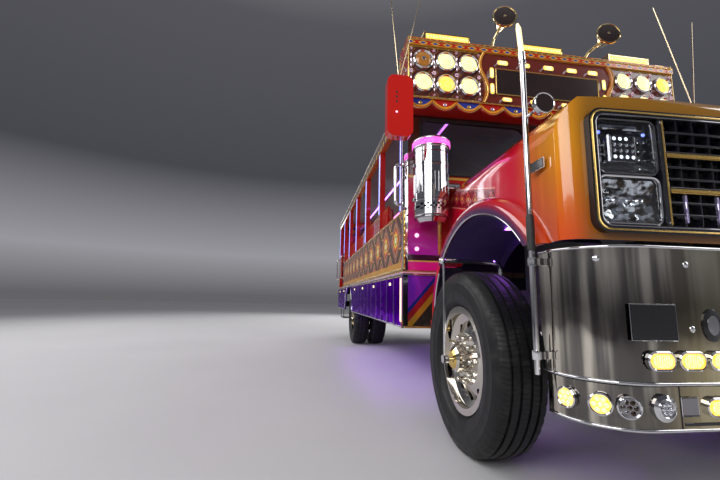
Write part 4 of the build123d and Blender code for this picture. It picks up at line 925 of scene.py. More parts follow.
dress(finish("roof_silver", {"Metallic": 0.35, "Coat Weight": 0.3}, roof_look), "roof_shell")
dress(chrome, "roof_rack", "rear_ladder")
roof = Shape()
for side in (-1, 1):
    roof.tube([(side * 1.262, -2.3, 2.712), (side * 1.262, 4.14, 2.712)], 0.0105, 10)
    for i in range(40):
        roof.turned((side * 1.235, -2.2 + i * 0.158, 2.735), (side * 0.3, 0, 1),
                    ([(0.007, -0.004), (0.006, 0.003), (0, 0.0045)], 8, 1))
roof.piece("gutter_and_rivets", "chassis", gilt, bolt_steel)
ends = Shape()
arch_half, arch_rise = 1.19, 0.152
for y0, y1 in ((-2.338, -2.284), (4.048, 4.0885)):
    gable = [(arch_half * (k - 20) / 20, 2.704 + arch_rise * (1 - ((k - 20) / 20) ** 2)) for k in range(41)]
    ends.loft([[(x, y, z) for x, z in gable + [(arch_half, 2.698), (-arch_half, 2.698)]] for y in (y0, y1)])
ends.tube([(x, 4.0895, z - 0.012) for x, z in gable[1:-1]], 0.006, 8, 1)
ends.block((-1.24, 4.088, 2.69), (1.24, 4.0935, 2.708), 0.002, 1)
ends.piece("roof_end_panels", "chassis", rear_coat, gilt)
party = Shape()
for x, y0, mat in ((-0.6, -1.9, 1), (0.6, -1.9, 2), (0, 0.2, 3)):
    high = 2.7 + arch_rise * (1 - (x / arch_half) ** 2)
    party.block((x - 0.022, y0, high - 0.012), (x + 0.022, 3.95, high + 0.006), 0.003, 0)
    party.block((x - 0.014, y0 + 0.02, high - 0.018), (x + 0.014, 3.93, high - 0.01), 0.002, mat)
party.block((-1.0, -2.255, 2.64), (1.0, -2.235, 2.67), 0.003, 0)
party.block((-0.97, -2.24, 2.645), (0.97, -2.229, 2.665), 0.002, 1)
ceiling_violet = lit("ceiling_violet", (0.5, 0.05, 1.0), 7)
ceiling_blue = lit("ceiling_blue", (0.06, 0.14, 1.0), 7)
ceiling_pink = lit("ceiling_pink", (1.0, 0.05, 0.4), 5)
party.piece("ceiling_light_strips", "chassis", chrome, ceiling_violet, ceiling_blue, ceiling_pink)
slats = Shape()
for i in range(11):
    x = -0.8 + i * 0.16
    slats.block((x - 0.045, -1.97, 2.9495), (x + 0.045, 3.87, 2.964), 0.003)
slats.piece("rack_slats", "chassis", finish("slat_wood", {}, lambda place: {
    "Base Color": place.stretched(20, 1, 20).noise(3, 4).mix((0.13, 0.075, 0.042), (0.24, 0.15, 0.085)),
    "Roughness": 0.5 + 0.3 * place.noise(8, 4), "height": place.stretched(20, 1, 20).noise(4, 5),
    "depth": 0.001}))


# Skirts: polished sheet between pressed chrome ribs, with a chrome bead along the bottom and small marker
# lamps.
# The sheet's violet colour and specular tint are painted reflection of violet lamp light. The front returns
# carry slanting painted stripes.
def skirt_look(place):
    x, y, z = place.parts()
    rib = abs(x) > 1.2503
    front = y < -2.3145
    slant = (z - 0.62) - (1.25 - abs(x)) * 1.15
    paint = (0.035, 0.035, 0.03)
    for edge, color in ((-0.07, (0.55, 0.3, 0.03)), (0.0, (0.4, 0.02, 0.03)), (0.075, (0.012, 0.03, 0.3)),
                        (0.115, (0.26, 0.03, 0.62))):
        paint = (slant > edge).mix(paint, color)
    # The sheet's violet is painted reflection of violet lamp light on polished metal
    sheet = place.noise(2.2, 3).mix((0.1, 0.02, 0.5), (0.24, 0.06, 0.72))
    color = front.mix(rib.mix(sheet, (0.74, 0.72, 0.78)), paint)
    wave = place.noise(5, 2)
    dust = (1 - z.fade(0.6, 0.85)) * place.noise(14, 5).fade(0.45, 0.7) * 0.35
    return {"Base Color": dust.mix(color, (0.14, 0.11, 0.09)), "Metallic": 1 - 0.55 * front - 0.3 * dust,
            "Roughness": 0.07 + 0.06 * wave + 0.5 * dust, "height": wave, "depth": 0.006}


# The violet specular tint is painted violet light as well
dress(finish("skirt_violet", {"Specular Tint": (0.6, 0.25, 1.0)}, skirt_look), "skirts")
skirt_trim = Shape()
for side in (-1, 1):
    for low, high in ((-2.335, 1.325), (2.475, 4.085)):
        for z, r, mat in ((0.627, 0.008, 0), (1.062, 0.0065, 1)):
            skirt_trim.tube([(side * 1.2535, low, z), (side * 1.2535, high, z)], r, 12, mat)
    skirt_trim.tube([(side * 0.89, -2.344, 0.63), (side * 1.245, -2.344, 0.63)], 0.009, 12, 1)
    arch = arc(rear_axle, wheel_z, 0.608, 12, 168, 40)
    skirt_trim.tube([(side * 1.253, y, z) for y, z in arch if z > 0.63], 0.0085, 10)
    for i in range(21):
        y = -2.32 + (i + 0.5) * 6.39 / 21
        if i % 3 == 1 and abs(y - rear_axle) > 0.35:
            skirt_trim.block((side * 1.2485, y - 0.036, 0.99), (side * 1.2565, y + 0.036, 1.02), 0.004, 0, 2)
            skirt_trim.block((side * 1.25, y - 0.028, 0.996), (side * 1.26, y + 0.028, 1.014), 0.004, 2, 2)
skirt_trim.piece("skirt_trim", "chassis", chrome, gilt, warm_glow)
under = Shape()
for side in (-1, 1):
    under.block((side * 1.19, -2.2, 0.655), (side * 1.21, 1.25, 0.672), 0.003)
under.piece("underglow_strips", "chassis", violet_glow)


# Seats: long benches down both sides and the driver's seat. Vinyl over foam on painted boxes, with sewn
# channels, creases where people sit and a chromed edge along the boxes' fronts.
def vinyl(color):
    def look(place):
        fine = place.noise(400, 2)
        crease = place.stretched(3, 9, 3).noise(3, 5)
        return {"Base Color": crease.mix(color, tuple(c * 0.6 for c in color)),
                "Roughness": 0.38 + 0.2 * crease,
                "height": fine * 0.4 + crease, "depth": 0.0016}
    return look


def cushion(shape, low, high, crown, along=60, channels=8, axis=1):
    """A crowned pad between two corners: full in the middle, pulled in at the sides, with sewn channels."""
    across, pull = 26, 0.012
    low, high = Vector(low), Vector(high)
    middle, half = (low + high) / 2, (high - low) / 2
    rings = []
    for i in range(along + 1):
        u = -1 + 2 * i / along
        end = max(0.0, 1 - abs(u) ** 14) ** 0.35
        channel = abs(math.cos(math.pi * channels * (u + 1) / 2)) ** 0.5
        ring = []
        for ca, sa in circle(across, 1):
            sx = math.copysign(abs(ca) ** 0.32, ca)
            sz = math.copysign(abs(sa) ** 0.42, sa)
            swell = crown * (1 - sx * sx * 0.75) * channel if sa > 0 else 0
            inset = pull * (1 - abs(u) ** 3) * (1 - abs(sz)) + pull * 0.7 * (1 - channel) * abs(sa)
            reach = (half.x - inset) * sx * (0.86 + 0.14 * end)
            lift = (half.z - crown * (sa > 0)) * sz * (0.4 + 0.6 * end) + swell * end
            ring.append(middle + Vector((reach, half.y * u, lift)))
        rings.append(ring)
    if axis == 0:
        rings = [[middle + Vector(((p - middle).y * half.x / half.y, (p - middle).x * half.y / half.x,
                                   (p - middle).z))
                  for p in ring] for ring in rings]
    shape.loft(rings)


vinyl_red = finish("bench_vinyl", {"Coat Weight": 0.15}, vinyl((0.32, 0.02, 0.018)))
box_paint = enamel("seat_box_paint", shades(4, (0.03, 0.03, 0.05), (0.05, 0.04, 0.06)), 0.4, 0.3, 1)
frames = Shape()
for side, name, y0, y1, count in ((1, "left", -1.005, 3.95, 5), (-1, "right", -1.405, 2.907, 4)):
    frames.block((side * 0.84, y0, 1.11), (side * 1.19, y1, 1.436), 0.004)
    frames.block((side * 1.165, y0, 1.436), (side * 1.19, y1, 1.9), 0.004, 2)
    frames.block((side * 1.1885, y0 + 0.01, 1.862), (side * 1.1925, y1 - 0.01, 1.886), 0.001, 3)
    frames.tube([(side * 0.835, y0, 1.428), (side * 0.835, y1, 1.428)], 0.009, 10, 1)
    inner, outer = sorted((side * 0.752, side * 1.11))
    span = (y1 - y0) / count
    for i in range(count):
        low_y, high_y = y0 + i * span + 0.004, y0 + (i + 1) * span - 0.004
        pad = Shape()
        cushion(pad, (inner, low_y, 1.438), (outer, high_y, 1.53), 0.02)
        made = pad.piece("bench_cushion_%s_%d" % (name, i + 1), "chassis", vinyl_red, angle=60)
        rest = Shape()
        quarter = Matrix.Rotation(-side * math.radians(90), 4, "Y")
        rest.frame = Matrix.Translation((side * 1.14, 0, 1.71)) @ quarter
        cushion(rest, (-0.18, low_y, -0.036), (0.18, high_y, 0.036), 0.016)
        made = rest.piece("bench_back_%s_%d" % (name, i + 1), "chassis", vinyl_red, angle=60)
made = frames.piece("bench_frames", "chassis", box_paint, chrome, red_enamel, gilt)
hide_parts("benches")
seat = Shape()
seat.block((0.40, -1.82, 1.11), (0.72, -1.42, 1.16), 0.004)
for i in range(9):
    z = 1.165 + i * 0.028
    seat.block((0.43 + 0.004 * (i % 2), -1.79, z), (0.69 - 0.004 * (i % 2), -1.45, z + 0.026), 0.01, 2)
seat.block((0.35, -1.85, 1.418), (0.77, -1.39, 1.452), 0.006)
seat.block((0.40, -1.375, 1.45), (0.72, -1.345, 1.62), 0.006)
made = seat.piece("driver_seat_frame", "chassis", box_paint, chrome, gasket)
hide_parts("driver_seat")
seat_pad = Shape()
cushion(seat_pad, (0.325, -1.865, 1.453), (0.795, -1.385, 1.568), 0.028, along=44, channels=4, axis=0)
made = seat_pad.piece("driver_seat_cushion", "chassis", vinyl_red, angle=60)
seat_back = Shape()
seat_back.frame = Matrix.Translation((0.56, -1.372, 1.875)) @ Matrix.Rotation(math.radians(90 - 6.6), 4, "X")
cushion(seat_back, (-0.225, -0.29, -0.045), (0.225, 0.29, 0.045), 0.02, along=50, channels=5)
made = seat_back.piece("driver_seat_back", "chassis", vinyl_red, angle=60)


# Cab fittings: a padded vinyl dashboard with chrome-rimmed dials, a steering wheel with a moulded rim, and
# the driver's door in red enamel with a rubber-sealed opening, a chrome handle and a painted waist band.
dash_look = finish("dash_vinyl", {}, vinyl((0.05, 0.045, 0.045)))
dress(dash_look, "dashboard")


def wheel_look(place):
    x, y, z = place.parts()
    ribs = ((x * 60).sine() * (z * 60).sine()).fade(-0.2, 0.4)
    return {"Base Color": ribs.mix((0.012, 0.012, 0.012), (0.03, 0.028, 0.028)),
            "Roughness": 0.3 + 0.2 * place.noise(9),
            "height": ribs, "depth": 0.001}


dress(finish("wheel_rim_black", {"Coat Weight": 0.3}, wheel_look), "steering_wheel")
dials = Shape()
dash_y, dash_z, dash_out = -1.9975, 1.79, (0, 0.95, 0.42)
for x, r in ((0.36, 0.045), (0.47, 0.06), (0.62, 0.06), (0.73, 0.045), (0.83, 0.035), (0.26, 0.035)):
    dials.frame = facing((x, dash_y, dash_z), dash_out)
    dials.lathe([(r + 0.009, -0.012), (r + 0.009, 0.004), (r, 0.009), (r - 0.003, 0.003),
                 (r - 0.004, -0.004)], 32)
    dials.lathe([(r - 0.001, -0.01), (r - 0.001, 0.0), (0, 0.0005)], 32, 1)
    tip, foot, half = r - 0.006, r - 0.012, 0.0015
    for c, s in arc(0, 0, 1, -30, 210, 10):
        dials.prism([(tip * c, tip * s), (foot * c + half * s, foot * s - half * c),
                     (foot * c - half * s, foot * s + half * c)], 0.0005, 0.002, 2)
    dials.prism([(0.002, 0), (0, r * 0.75), (-0.002, 0), (0, -0.008)], 0.001, 0.003, 3)
for i in range(8):
    dials.turned((-0.35 + i * 0.06, dash_y, dash_z), dash_out,
                 ([(0.009, -0.01), (0.009, 0.004), (0.005, 0.008), (0.003, 0.022), (0, 0.024)], 12))
dial_black = enamel("dial_black", (0.01, 0.01, 0.012), 0.3, 0.6, 0)
white_paint = enamel("white_paint", (0.7, 0.69, 0.64), 0.3, 0.5, 0)
needle_red = enamel("needle_red", (0.6, 0.03, 0.01), 0.3, 0.5, 0)
dials.piece("dashboard_dials", "chassis", chrome, dial_black, white_paint, needle_red)


def door_paint(place):
    x, y, z = place.parts()
    band = z.between(1.3, 1.6)
    ornament = folk(y * 3.2 + 0.1, (z - 1.3) * 3.33, (0.035, 0.012, 0.018))
    paint = band.mix(place.noise(3, 4).mix((0.4, 0.01, 0.008), (0.5, 0.018, 0.01)), ornament)
    return (z.between(1.27, 1.295) | z.between(1.605, 1.63)).mix(paint, (0.75, 0.42, 0.03))


dress(enamel("door_paint", door_paint, 0.17, 1), "driver_door")
door_fit = Shape()
for face_x, out in ((1.2503, 1), (1.2197, -1)):
    door_fit.frame = upright((face_x, -1.72, 2.08), (out, 0, 0))
    frame_strip(door_fit, 0.374, 0.35, 0.14, ((-0.006, -0.006), (-0.006, 0.004), (0.004, 0.006), (0.016, 0.0),
                                              (0.016, -0.002)), 0)
    door_fit.frame = Matrix.Identity(4)
door_fit.block((1.2495, -1.37, 1.64), (1.2545, -1.27, 1.72), 0.004, 1)
door_fit.tube([(1.252, -1.355, 1.685), (1.272, -1.345, 1.69), (1.274, -1.31, 1.69), (1.272, -1.28, 1.688),
               (1.252, -1.275, 1.685)], 0.007, 10, 1)
door_fit.turned((1.2545, -1.29, 1.655), (1, 0, 0), ([(0.01, -0.002), (0.01, 0.003), (0.004, 0.004),
                                                     (0, 0.003)], 16, 1))
door_fit.block((1.2495, -2.15, 1.135), (1.2525, -1.28, 1.17), 0.001, 1)
door_fit.piece("door_fittings", "door", gasket, chrome)


# Hood, fenders and cowl: moulded skin that tilts forward, under deep lacquer, with a bright lip along the
# wheel arches and a dark liner inside. Amber at the nose blends to red on the flanks, partly paint and partly
# painted lamp light, warm at the nose and magenta on the flanks. Painted shade darkens the lower flanks, the
# nose's face and the hood's top behind the nose, and paints the inner faces of the hood and cowl near black.
def hood_paint_look(place):
    x, y, z = place.parts()
    cloud = place.noise(1.6, 3)
    # Amber nose and red flanks: partly paint, partly painted lamp light, with painted shade darker low down
    nose_paint_and_light = 1 - (y + 0.12 * cloud).fade(-4.02, -3.6)
    low = 1 - z.fade(1.1, 1.62)
    flank = (0.35 * low + cloud * 0.3).mix((0.7, 0.006, 0.035), (0.44, 0.008, 0.012))
    front = low.mix((0.78, 0.3, 0.012), (0.66, 0.075, 0.006))
    # The nose's forward face is painted darker brown, as shade
    face = (1 - (y + 0.03 * cloud).fade(-4.13, -4.03)) * (1 - (abs(x) + 0.05 * cloud).fade(0.9, 1.04))
    front = (face * 0.9).mix(front, (0.27, 0.125, 0.012))
    # The hood's top behind the nose is painted darker, as shade
    top = z.fade(1.7, 1.76)
    paint = nose_paint_and_light.mix(flank, front)
    paint = (top * (1 - nose_paint_and_light) * 0.75).mix(paint, (0.45, 0.05, 0.008))
    # A band of lozenges rises along each flank
    from_band = abs(z - 1.56 - (y + 3.1) * 0.28)
    panel = y.between(-3.42, -2.5) * (abs(x) > 0.6)
    lozenge = abs((y * 7).fract() - 0.5) * 0.12 + from_band
    for mask, color in (((from_band < 0.07) * 0.8, (0.2, 0.004, 0.015)),
                        (lozenge.between(0.036, 0.05), (0.7, 0.13, 0.1)),
                        (lozenge < 0.02, (0.78, 0.4, 0.08)),
                        (abs(from_band - 0.078) < 0.005, (0.74, 0.26, 0.2))):
        paint = (mask * panel).mix(paint, color)
    # Faces turned inward are painted near black, as shade inside the hood
    return place.turned_in(0, front_axle, 1.1).mix(paint, (0.02, 0.014, 0.03))


def cowl_paint_look(place):
    x, y, z = place.parts()
    # The cowl's middle under the hood is painted near black, as shade
    shaded_inside = (1 - abs(x).fade(0.8, 0.86)) * (1 - z.fade(1.5, 1.54))
    return shaded_inside.mix(hood_paint_look(place), (0.03, 0.012, 0.045))


dress(enamel("hood_paint", hood_paint_look, 0.09, 1, 0.25), "hood_shell")
dress(enamel("cowl_paint", cowl_paint_look, 0.12, 1, 0.3), "cowl")


def flare_paint_look(place):
    x, y, z = place.parts()
    r = place.off_axis(front_axle, fender_z)
    # Amber towards the nose: partly paint, partly painted warm lamp light
    nose_paint_and_light = 1 - (y + 0.1 * place.noise(2)).fade(-4.0, -3.65)
    base = nose_paint_and_light.mix((0.5, 0.008, 0.02), (0.6, 0.07, 0.008))
    # The ring next to the arch is painted dark violet, as the shadow under the flare's edge
    return (1 - r.fade(0.735, 0.79)).mix(base, (0.07, 0.01, 0.075))


dress(enamel("flare_paint", flare_paint_look, 0.1, 1, 0.3), "fender_flares")
lip, fixed_lip, liner = Shape(), Shape(), Shape()
lip_x, lip_r = 1.0565, 0.7215
for side in (-1, 1):
    lip.tube([(side * lip_x, y, z) for y, z in arc(front_axle, fender_z, lip_r, 0, 180, 90)
              if z > 1.135 and y < -2.5], 0.0075, 10)
    # The liner's roof over the wheel, and the web on its inner side
    for sheet in (((0.6, 0.708), (1.045, 0.708), (1.045, 0.714), (0.6, 0.714)),
                  ((0.6, 0.64), (0.606, 0.64), (0.606, 0.708), (0.6, 0.708))):
        liner.loft([[(side * x, front_axle + r * c, fender_z + r * s) for x, r in sheet]
                    for c, s in arc(0, 0, 1, 136, 44, 48)])
    fixed_lip.tube([(side * lip_x, y, z) for y, z in arc(front_axle, fender_z, lip_r, -8, 38, 20)
                    if z < 1.085], 0.0075, 10)
lip.piece("fender_lip_trim", "hood", chrome)
fixed_lip.piece("fender_foot_trim", "chassis", chrome)
liner_violet = finish("liner_plastic", {}, lambda place: {
    "Base Color": place.noise(6, 5).mix((0.02, 0.012, 0.05), (0.05, 0.02, 0.12)),
    "Roughness": 0.4 + 0.3 * place.noise(11, 4),
    "height": place.noise(70, 3), "depth": 0.0015})
liner.piece("fender_liners", "hood", liner_violet)
arch_glow = Shape()
for side in (-1, 1):
    arch_glow.block((side * 0.69, -3.5, 1.352), (side * 0.73, -3.1, 1.366), 0.003)
arch_glow.piece("arch_glow_strips", "hood", violet_glow)
hood_fit = Shape()
for side in (-1, 1):
    hood_fit.block((side * 1.0295, -4.0, 1.475), (side * 1.0345, -3.89, 1.515), 0.002, 1)
    hood_fit.block((side * 1.0295, -4.004, 1.471), (side * 1.0325, -3.886, 1.519), 0.001, 0)
hood_fit.piece("hood_side_plates", "hood", chrome, dial_black)


# Grille and headlamps: cast surround in dark metal with gilt lines, bars with bright edges, and lamp units
# with moulded housings. The upper unit holds a diode module, and the lower one a faceted reflector.
def nose_y(x, proud):
    """The y of the nose's crowned face at x, or of what stands proud of it."""
    return -4.15 + 0.022 * (x / 0.928) ** 2 - proud


def grille_look(place):
    x, y, z = place.parts()
    cloud = place.noise(8, 4)
    return {"Base Color": cloud.mix((0.02, 0.021, 0.026), (0.05, 0.05, 0.06)),
            "Roughness": 0.16 + 0.15 * cloud,
            "height": place.noise(60, 3), "depth": 0.0004}


dress(finish("grille_dark", {"Metallic": 0.75, "Coat Weight": 0.6}, grille_look), "grille")
bright = Shape()
tier_low, tier_rise = 1.186, 0.15733
for inset, r, mat in ((0.012, 0.0045, 0), (0.029, 0.0035, 1)):
    loop = round_loop(0.922 - inset, 0.27 - inset, 0.06 - inset * 0.6, 10)
    fine = []
    for (x0, z0), (x1, z1) in zip(loop, loop[1:] + loop[:1]):
        count = max(1, int(abs(x1 - x0) / 0.1))
        fine += [(x0 + (x1 - x0) * k / count, z0 + (z1 - z0) * k / count) for k in range(count)]
    bright.tube([(x, nose_y(x, 0.0305), 1.422 + z) for x, z in fine], r, 8, mat, closed=True)
across = [-0.57 + 1.14 * k / 24 for k in range(25)]
for z in (1.3433, 1.5007):
    for dz, mat in ((-0.0115, 0), (0.0115, 1)):
        bright.tube([(x, nose_y(x, 0.0285), z + dz) for x in across], 0.0028, 6, mat)
    rings = [[(x, nose_y(x, 0.0283), z - 0.007), (x, nose_y(x, 0.0283), z + 0.007),
              (x, nose_y(x, 0.0305), z + 0.005), (x, nose_y(x, 0.0305), z - 0.005)] for x in across]
    bright.loft(rings, 2)
for tier in range(3):
    for step in (1, 2):
        z = tier_low + (tier + step / 3) * tier_rise
        bright.tube([(x, nose_y(x, 0.0185), z + 0.0032) for x in across], 0.0018, 6, 1)
bars = 15
for i in range(1, bars):
    x = -0.576 + i * 1.152 / bars
    for tier in range(3):
        low, high = tier_low + tier * tier_rise + 0.014, tier_low + (tier + 1) * tier_rise - 0.014
        if tier == 0 and i % 2:
            bright.block((x - 0.005, nose_y(x, 0.026), low + 0.004),
                         (x + 0.005, nose_y(x, 0.012), high - 0.004), 0.002, 3)
        else:
            bright.tube([(x, nose_y(x, 0.0165), low), (x, nose_y(x, 0.0165), high)], 0.0022, 6, 1)
for side in (-1, 1):
    x = side * 0.588
    bright.tube([(side * 0.579, nose_y(x, 0.0265), z) for z in (1.192, 1.652)], 0.0035, 8)
    for z in (1.2, 1.644):
        bright.turned((x + side * 0.004, nose_y(x, 0.0262), z), forward,
                      ([(0.005, -0.001), (0.005, 0.002), (0.002, 0.003), (0, 0.003)], 10, 1))
dark_chrome = plating("dark_chrome", (0.3, 0.29, 0.31), 0.08)
lilac_chrome = plating("lilac_chrome", (0.62, 0.55, 0.85), 0.12, 0.8)
bright.piece("grille_bright_work", "hood", gilt, dark_chrome, gilt, lilac_chrome)

lamp_shell = finish("lamp_housing", {"Coat Weight": 0.8}, lambda place: {
    "Base Color": place.noise(10, 4).mix((0.012, 0.012, 0.016), (0.035, 0.034, 0.04)),
    "Roughness": 0.14 + 0.1 * place.noise(30, 2)})
clear = finish("lamp_lens", {"Base Color": (0.9, 0.93, 0.95), "Transmission Weight": 1.0, "IOR": 1.45},
               lambda place: {"Roughness": 0.015 + 0.05 * place.noise(5, 5).fade(0.55, 0.8),
                              "height": place.noise(8, 2), "depth": 0.0006})
white_glow = lit("white_diodes", (0.75, 0.85, 1.0), 2.6)
# The faceted reflector's colour is painted in dark and bright patches, as glints of reflected light
facets = finish("reflector_silver", {"Metallic": 1}, lambda place: {
    "Base Color": place.noise(24, 2).fade(0.4, 0.6).mix((0.07, 0.05, 0.035), (0.92, 0.95, 1.0)),
    "Roughness": 0.04 + 0.08 * place.noise(40, 2)})
lamps = Shape()
for side in (-1, 1):
    for z_mid, h, upper in ((1.2945, 0.108, False), (1.531, 0.1265, True)):
        lamps.frame = upright((side * 0.744, nose_y(0.744, 0.017), z_mid), (side * 0.038, -1, 0))
        w, rim = 0.1435, 0 if upper else 1
        frame_strip(lamps, w, h, 0.038, ((-0.001, -0.045), (-0.001, -0.002), (-0.005, 0.0), (-0.010, -0.003),
                                         (-0.016, -0.045)), rim)
        lamps.loft([[(x * s, y * s, d) for x, y in round_loop(w - 0.014, h - 0.014, 0.026)]
                    for s, d in ((1, -0.008), (0.97, -0.055), (0.9, -0.06), (0.9, -0.064), (0.985, -0.06),
                                 (1.01, -0.008))], 0, closed=True)
        lamps.prism(round_loop(w - 0.016, h - 0.016, 0.024), -0.0665, -0.0615)
        lens = [[(x * s, y * s, d) for x, y in round_loop(w - 0.009, h - 0.009, 0.03)]
                for s, d in ((0.001, 0.001), (0.35, 0.0005), (0.7, -0.001), (0.92, -0.003), (1.0, -0.0055))]
        lamps.loft(lens + [[(x, y, d - 0.003) for x, y, d in ring] for ring in lens[::-1]], 2)
        if upper:
            lamps.block((-0.066, -0.066, -0.06), (0.066, 0.066, -0.026), 0.006, 3)
            lamps.block((-0.058, -0.058, -0.0262), (0.058, 0.058, -0.0225), 0.004, 0)
            lamps.block((-0.112, 0.082, -0.058), (0.112, 0.106, -0.02), 0.005, 4)
            for row, count, glow in ((0.04, 3, 5), (0.012, 4, 1), (-0.014, 4, 1), (-0.042, 4, 5)):
                for i in range(count):
                    at = (-0.042 + i * 0.028, row, -0.0225)
                    lamps.lathe([(0.0115, 0), (0.0115, 0.003), (0.0095, 0.003)], 14, 3, at=at)
                    lamps.lathe([(0.0092, 0.0005), (0.0075, 0.0035), (0.004, 0.0055), (0, 0.006)], 14, glow,
                                at=at)
            for x in (-0.105, 0.105):
                lamps.lathe([(0.008, 0), (0.007, 0.004), (0, 0.007)], 12, 6, at=(x, 0.068, -0.03))
            for i in range(7):
                x = -0.098 if i % 2 else 0.098
                lamps.block((x - 0.018, -0.09 + i * 0.02, -0.06), (x + 0.018, -0.083 + i * 0.02, -0.034),
                            0.002, 1)
        else:
            nx, ny = 13, 10
            grid = []
            for j in range(ny + 1):
                for i in range(nx + 1):
                    u, v = -1 + 2 * i / nx, -1 + 2 * j / ny
                    lobe = (abs(u) - 0.42) ** 2 * 1.3 + v * v
                    wobble = 0.006 * math.sin(i * 12.9 + j * 78.2) * (abs(u) < 0.99) * (abs(v) < 0.99)
                    grid.append((u * (w - 0.017), v * (h - 0.017), -0.056 + 0.034 * min(1.1, lobe) + wobble))
            faces = [(j * (nx + 1) + i, j * (nx + 1) + i + 1, (j + 1) * (nx + 1) + i + 1,
                      (j + 1) * (nx + 1) + i)
                     for j in range(ny) for i in range(nx)]
            base = len(grid)
            grid += [(x, y, -0.0605) for x, y, z in grid]
            faces += [tuple(base + k for k in f) for f in faces]
            edge = [*range(nx + 1), *[(j + 1) * (nx + 1) - 1 for j in range(1, ny + 1)],
                    *[ny * (nx + 1) + i for i in range(nx - 1, -1, -1)],
                    *[j * (nx + 1) for j in range(ny - 1, 0, -1)]]
            faces += [(a, b, base + b, base + a) for a, b in zip(edge, edge[1:] + edge[:1])]
            lamps.add(grid, faces, 4)
            for x in (-0.054, 0.054):
                bulb = [(0.017, 0), (0.015, 0.02), (0.018, 0.03), (0.012, 0.037), (0, 0.039)]
                lamps.lathe(bulb, 18, 1, at=(x, 0, -0.055))
        lamps.frame = Matrix.Identity(4)
made = lamps.piece("headlamp_units", "hood", lamp_shell, chrome, clear, dark_chrome, facets, white_glow,
                   blue_glow, angle=30)
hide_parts("headlamps")


# Front bumper: one sheet of stainless steel wrapped round the nose with a stepped lip below, polished like a
# mirror. Its colour carries painted reflections: light and dark vertical streaks, and across the middle a
# glow that is gold low down and darker higher up. It has rolled edges, seams, bolts, and a blank plate and
# badge.
# Oblong and round lamps sit on it.
def mirror_steel(place):
    x, y, z = place.parts()
    spots = place.noise(40, 5).fade(0.62, 0.8)
    dust = (1 - z.fade(0.42, 0.75)) * place.noise(12, 5).fade(0.45, 0.75) * 0.3
    # Light and dark vertical streaks: painted reflections
    reflection_streak = place.stretched(1, 1, 0.05).noise(11, 3).fade(0.42, 0.6)
    color = reflection_streak.mix((0.14, 0.13, 0.125), (0.62, 0.58, 0.5))
    # Across the middle, a painted reflection that glows gold low down and darkens upward
    middle = (1 - abs(x).fade(0.45, 0.85)) * 0.85
    glow = z.fade(0.55, 1.0).mix((0.54, 0.45, 0.22), (0.24, 0.21, 0.155))
    color = middle.mix(color, (reflection_streak * 0.25).mix(glow, (0.5, 0.46, 0.36)))
    return {"Base Color": (dust + 0.2 * spots).mix(color, (0.3, 0.26, 0.2)),
            "Roughness": 0.035 + 0.1 * spots + 0.4 * dust,
            "height": place.stretched(2.4, 2.4, 0.25).noise(3.2, 2), "depth": 0.016}


stainless = finish("mirror_stainless", {"Metallic": 1}, mirror_steel)
dress(stainless, "front_bumper")
bumper_y, corner_x, corner_y, corner_r, lip_in = -4.236, 0.785, -3.986, 0.25, 0.018


def wrap(z, inset):
    """Points along the bumper's face from one end round to the other."""
    half, front, corner = corner_x + corner_r - inset, bumper_y + inset, corner_r - inset
    end = -3.935
    path = [(half, end), (half, (end + front + corner) / 2)]
    path += arc(half - corner, front + corner, corner, 0, -90, 12)
    path += [(half * 0.5, front), (half * 0.2, front)]
    return [(x, y, z) for x, y in path] + [(-x, y, z) for x, y in path[::-1]]


trim = Shape()
for z, inset, r, sides, mat in ((1.086, 0.001, 0.0065, 10, 0), (0.576, 0, 0.007, 10, 0),
                                (0.409, lip_in, 0.0065, 10, 0), (0.566, lip_in - 0.001, 0.0035, 8, 1)):
    trim.tube(wrap(z, inset), r, sides, mat)
for side in (-1, 1):
    # Seams between the corner and the centre of the lip, slots along it, and a blank plate
    for x0, y0, z0, x1, y1, z1, edge, mat in (
            (0.682, -4.2195, 0.412, 0.685, -4.217, 0.566, 0.0005, 1),
            (0.10, -4.2195, 0.425, 0.67, -4.2175, 0.434, 0.001, 1),
            (0.615, -4.2215, 0.462, 0.675, -4.2175, 0.522, 0.003, 2),
            (0.611, -4.2205, 0.458, 0.679, -4.2178, 0.526, 0.002, 0),
            (0.688, -4.239, 0.735, 0.875, -4.235, 0.862, 0.002, 1),
            (0.684, -4.2375, 0.731, 0.879, -4.2355, 0.866, 0.001, 0)):
        trim.block((side * x0, y0, z0), (side * x1, y1, z1), edge, mat)
    for x, z in ((0.618, 0.775), (0.618, 1.02), (0.3, 1.02), (0.3, 0.62), (0.95, 1.04)):
        lean = max(0.0, x - corner_x) / corner_r
        ahead = math.sqrt(1 - lean ** 2)
        trim.turned((side * x, bumper_y + corner_r * (1 - ahead), z), (side * lean, -ahead, 0),
                    ([(0.0125, -0.003), (0.0125, 0.0015), (0.009, 0.005), (0.004, 0.0065), (0, 0.0068)], 18))
    for layers, mat in ((((1, -4.235), (1, -4.2405), (0.88, -4.2425)), 1),
                        (((0.6, -4.242), (0.6, -4.2445)), 0)):
        trim.loft([[(side * (0.532 + 0.042 * s * c), y, 0.79 + 0.062 * s * up) for c, up in circle(28, 1)]
                   for s, y in layers], mat)
trim.piece("bumper_trim", "chassis", chrome, dial_black, dark_chrome)
amber_glow = lit("amber_diodes", (1.0, 0.5, 0.015), 1.25, (0.8, 0.5, 0.06))
yellow_glow = lit("yellow_diodes", (1.0, 0.78, 0.18), 1.35, (0.9, 0.8, 0.4))
amber_lens = finish("amber_lens", {"Coat Weight": 0.8}, lambda place: {
    "Base Color": place.noise(30, 3).mix((0.35, 0.12, 0.012), (0.62, 0.26, 0.03)),
    "Roughness": 0.12 + 0.1 * place.noise(50, 2),
    "height": place.noise(60, 2), "depth": 0.001})
dress(chrome, "bumper_lamps")
lights = Shape()


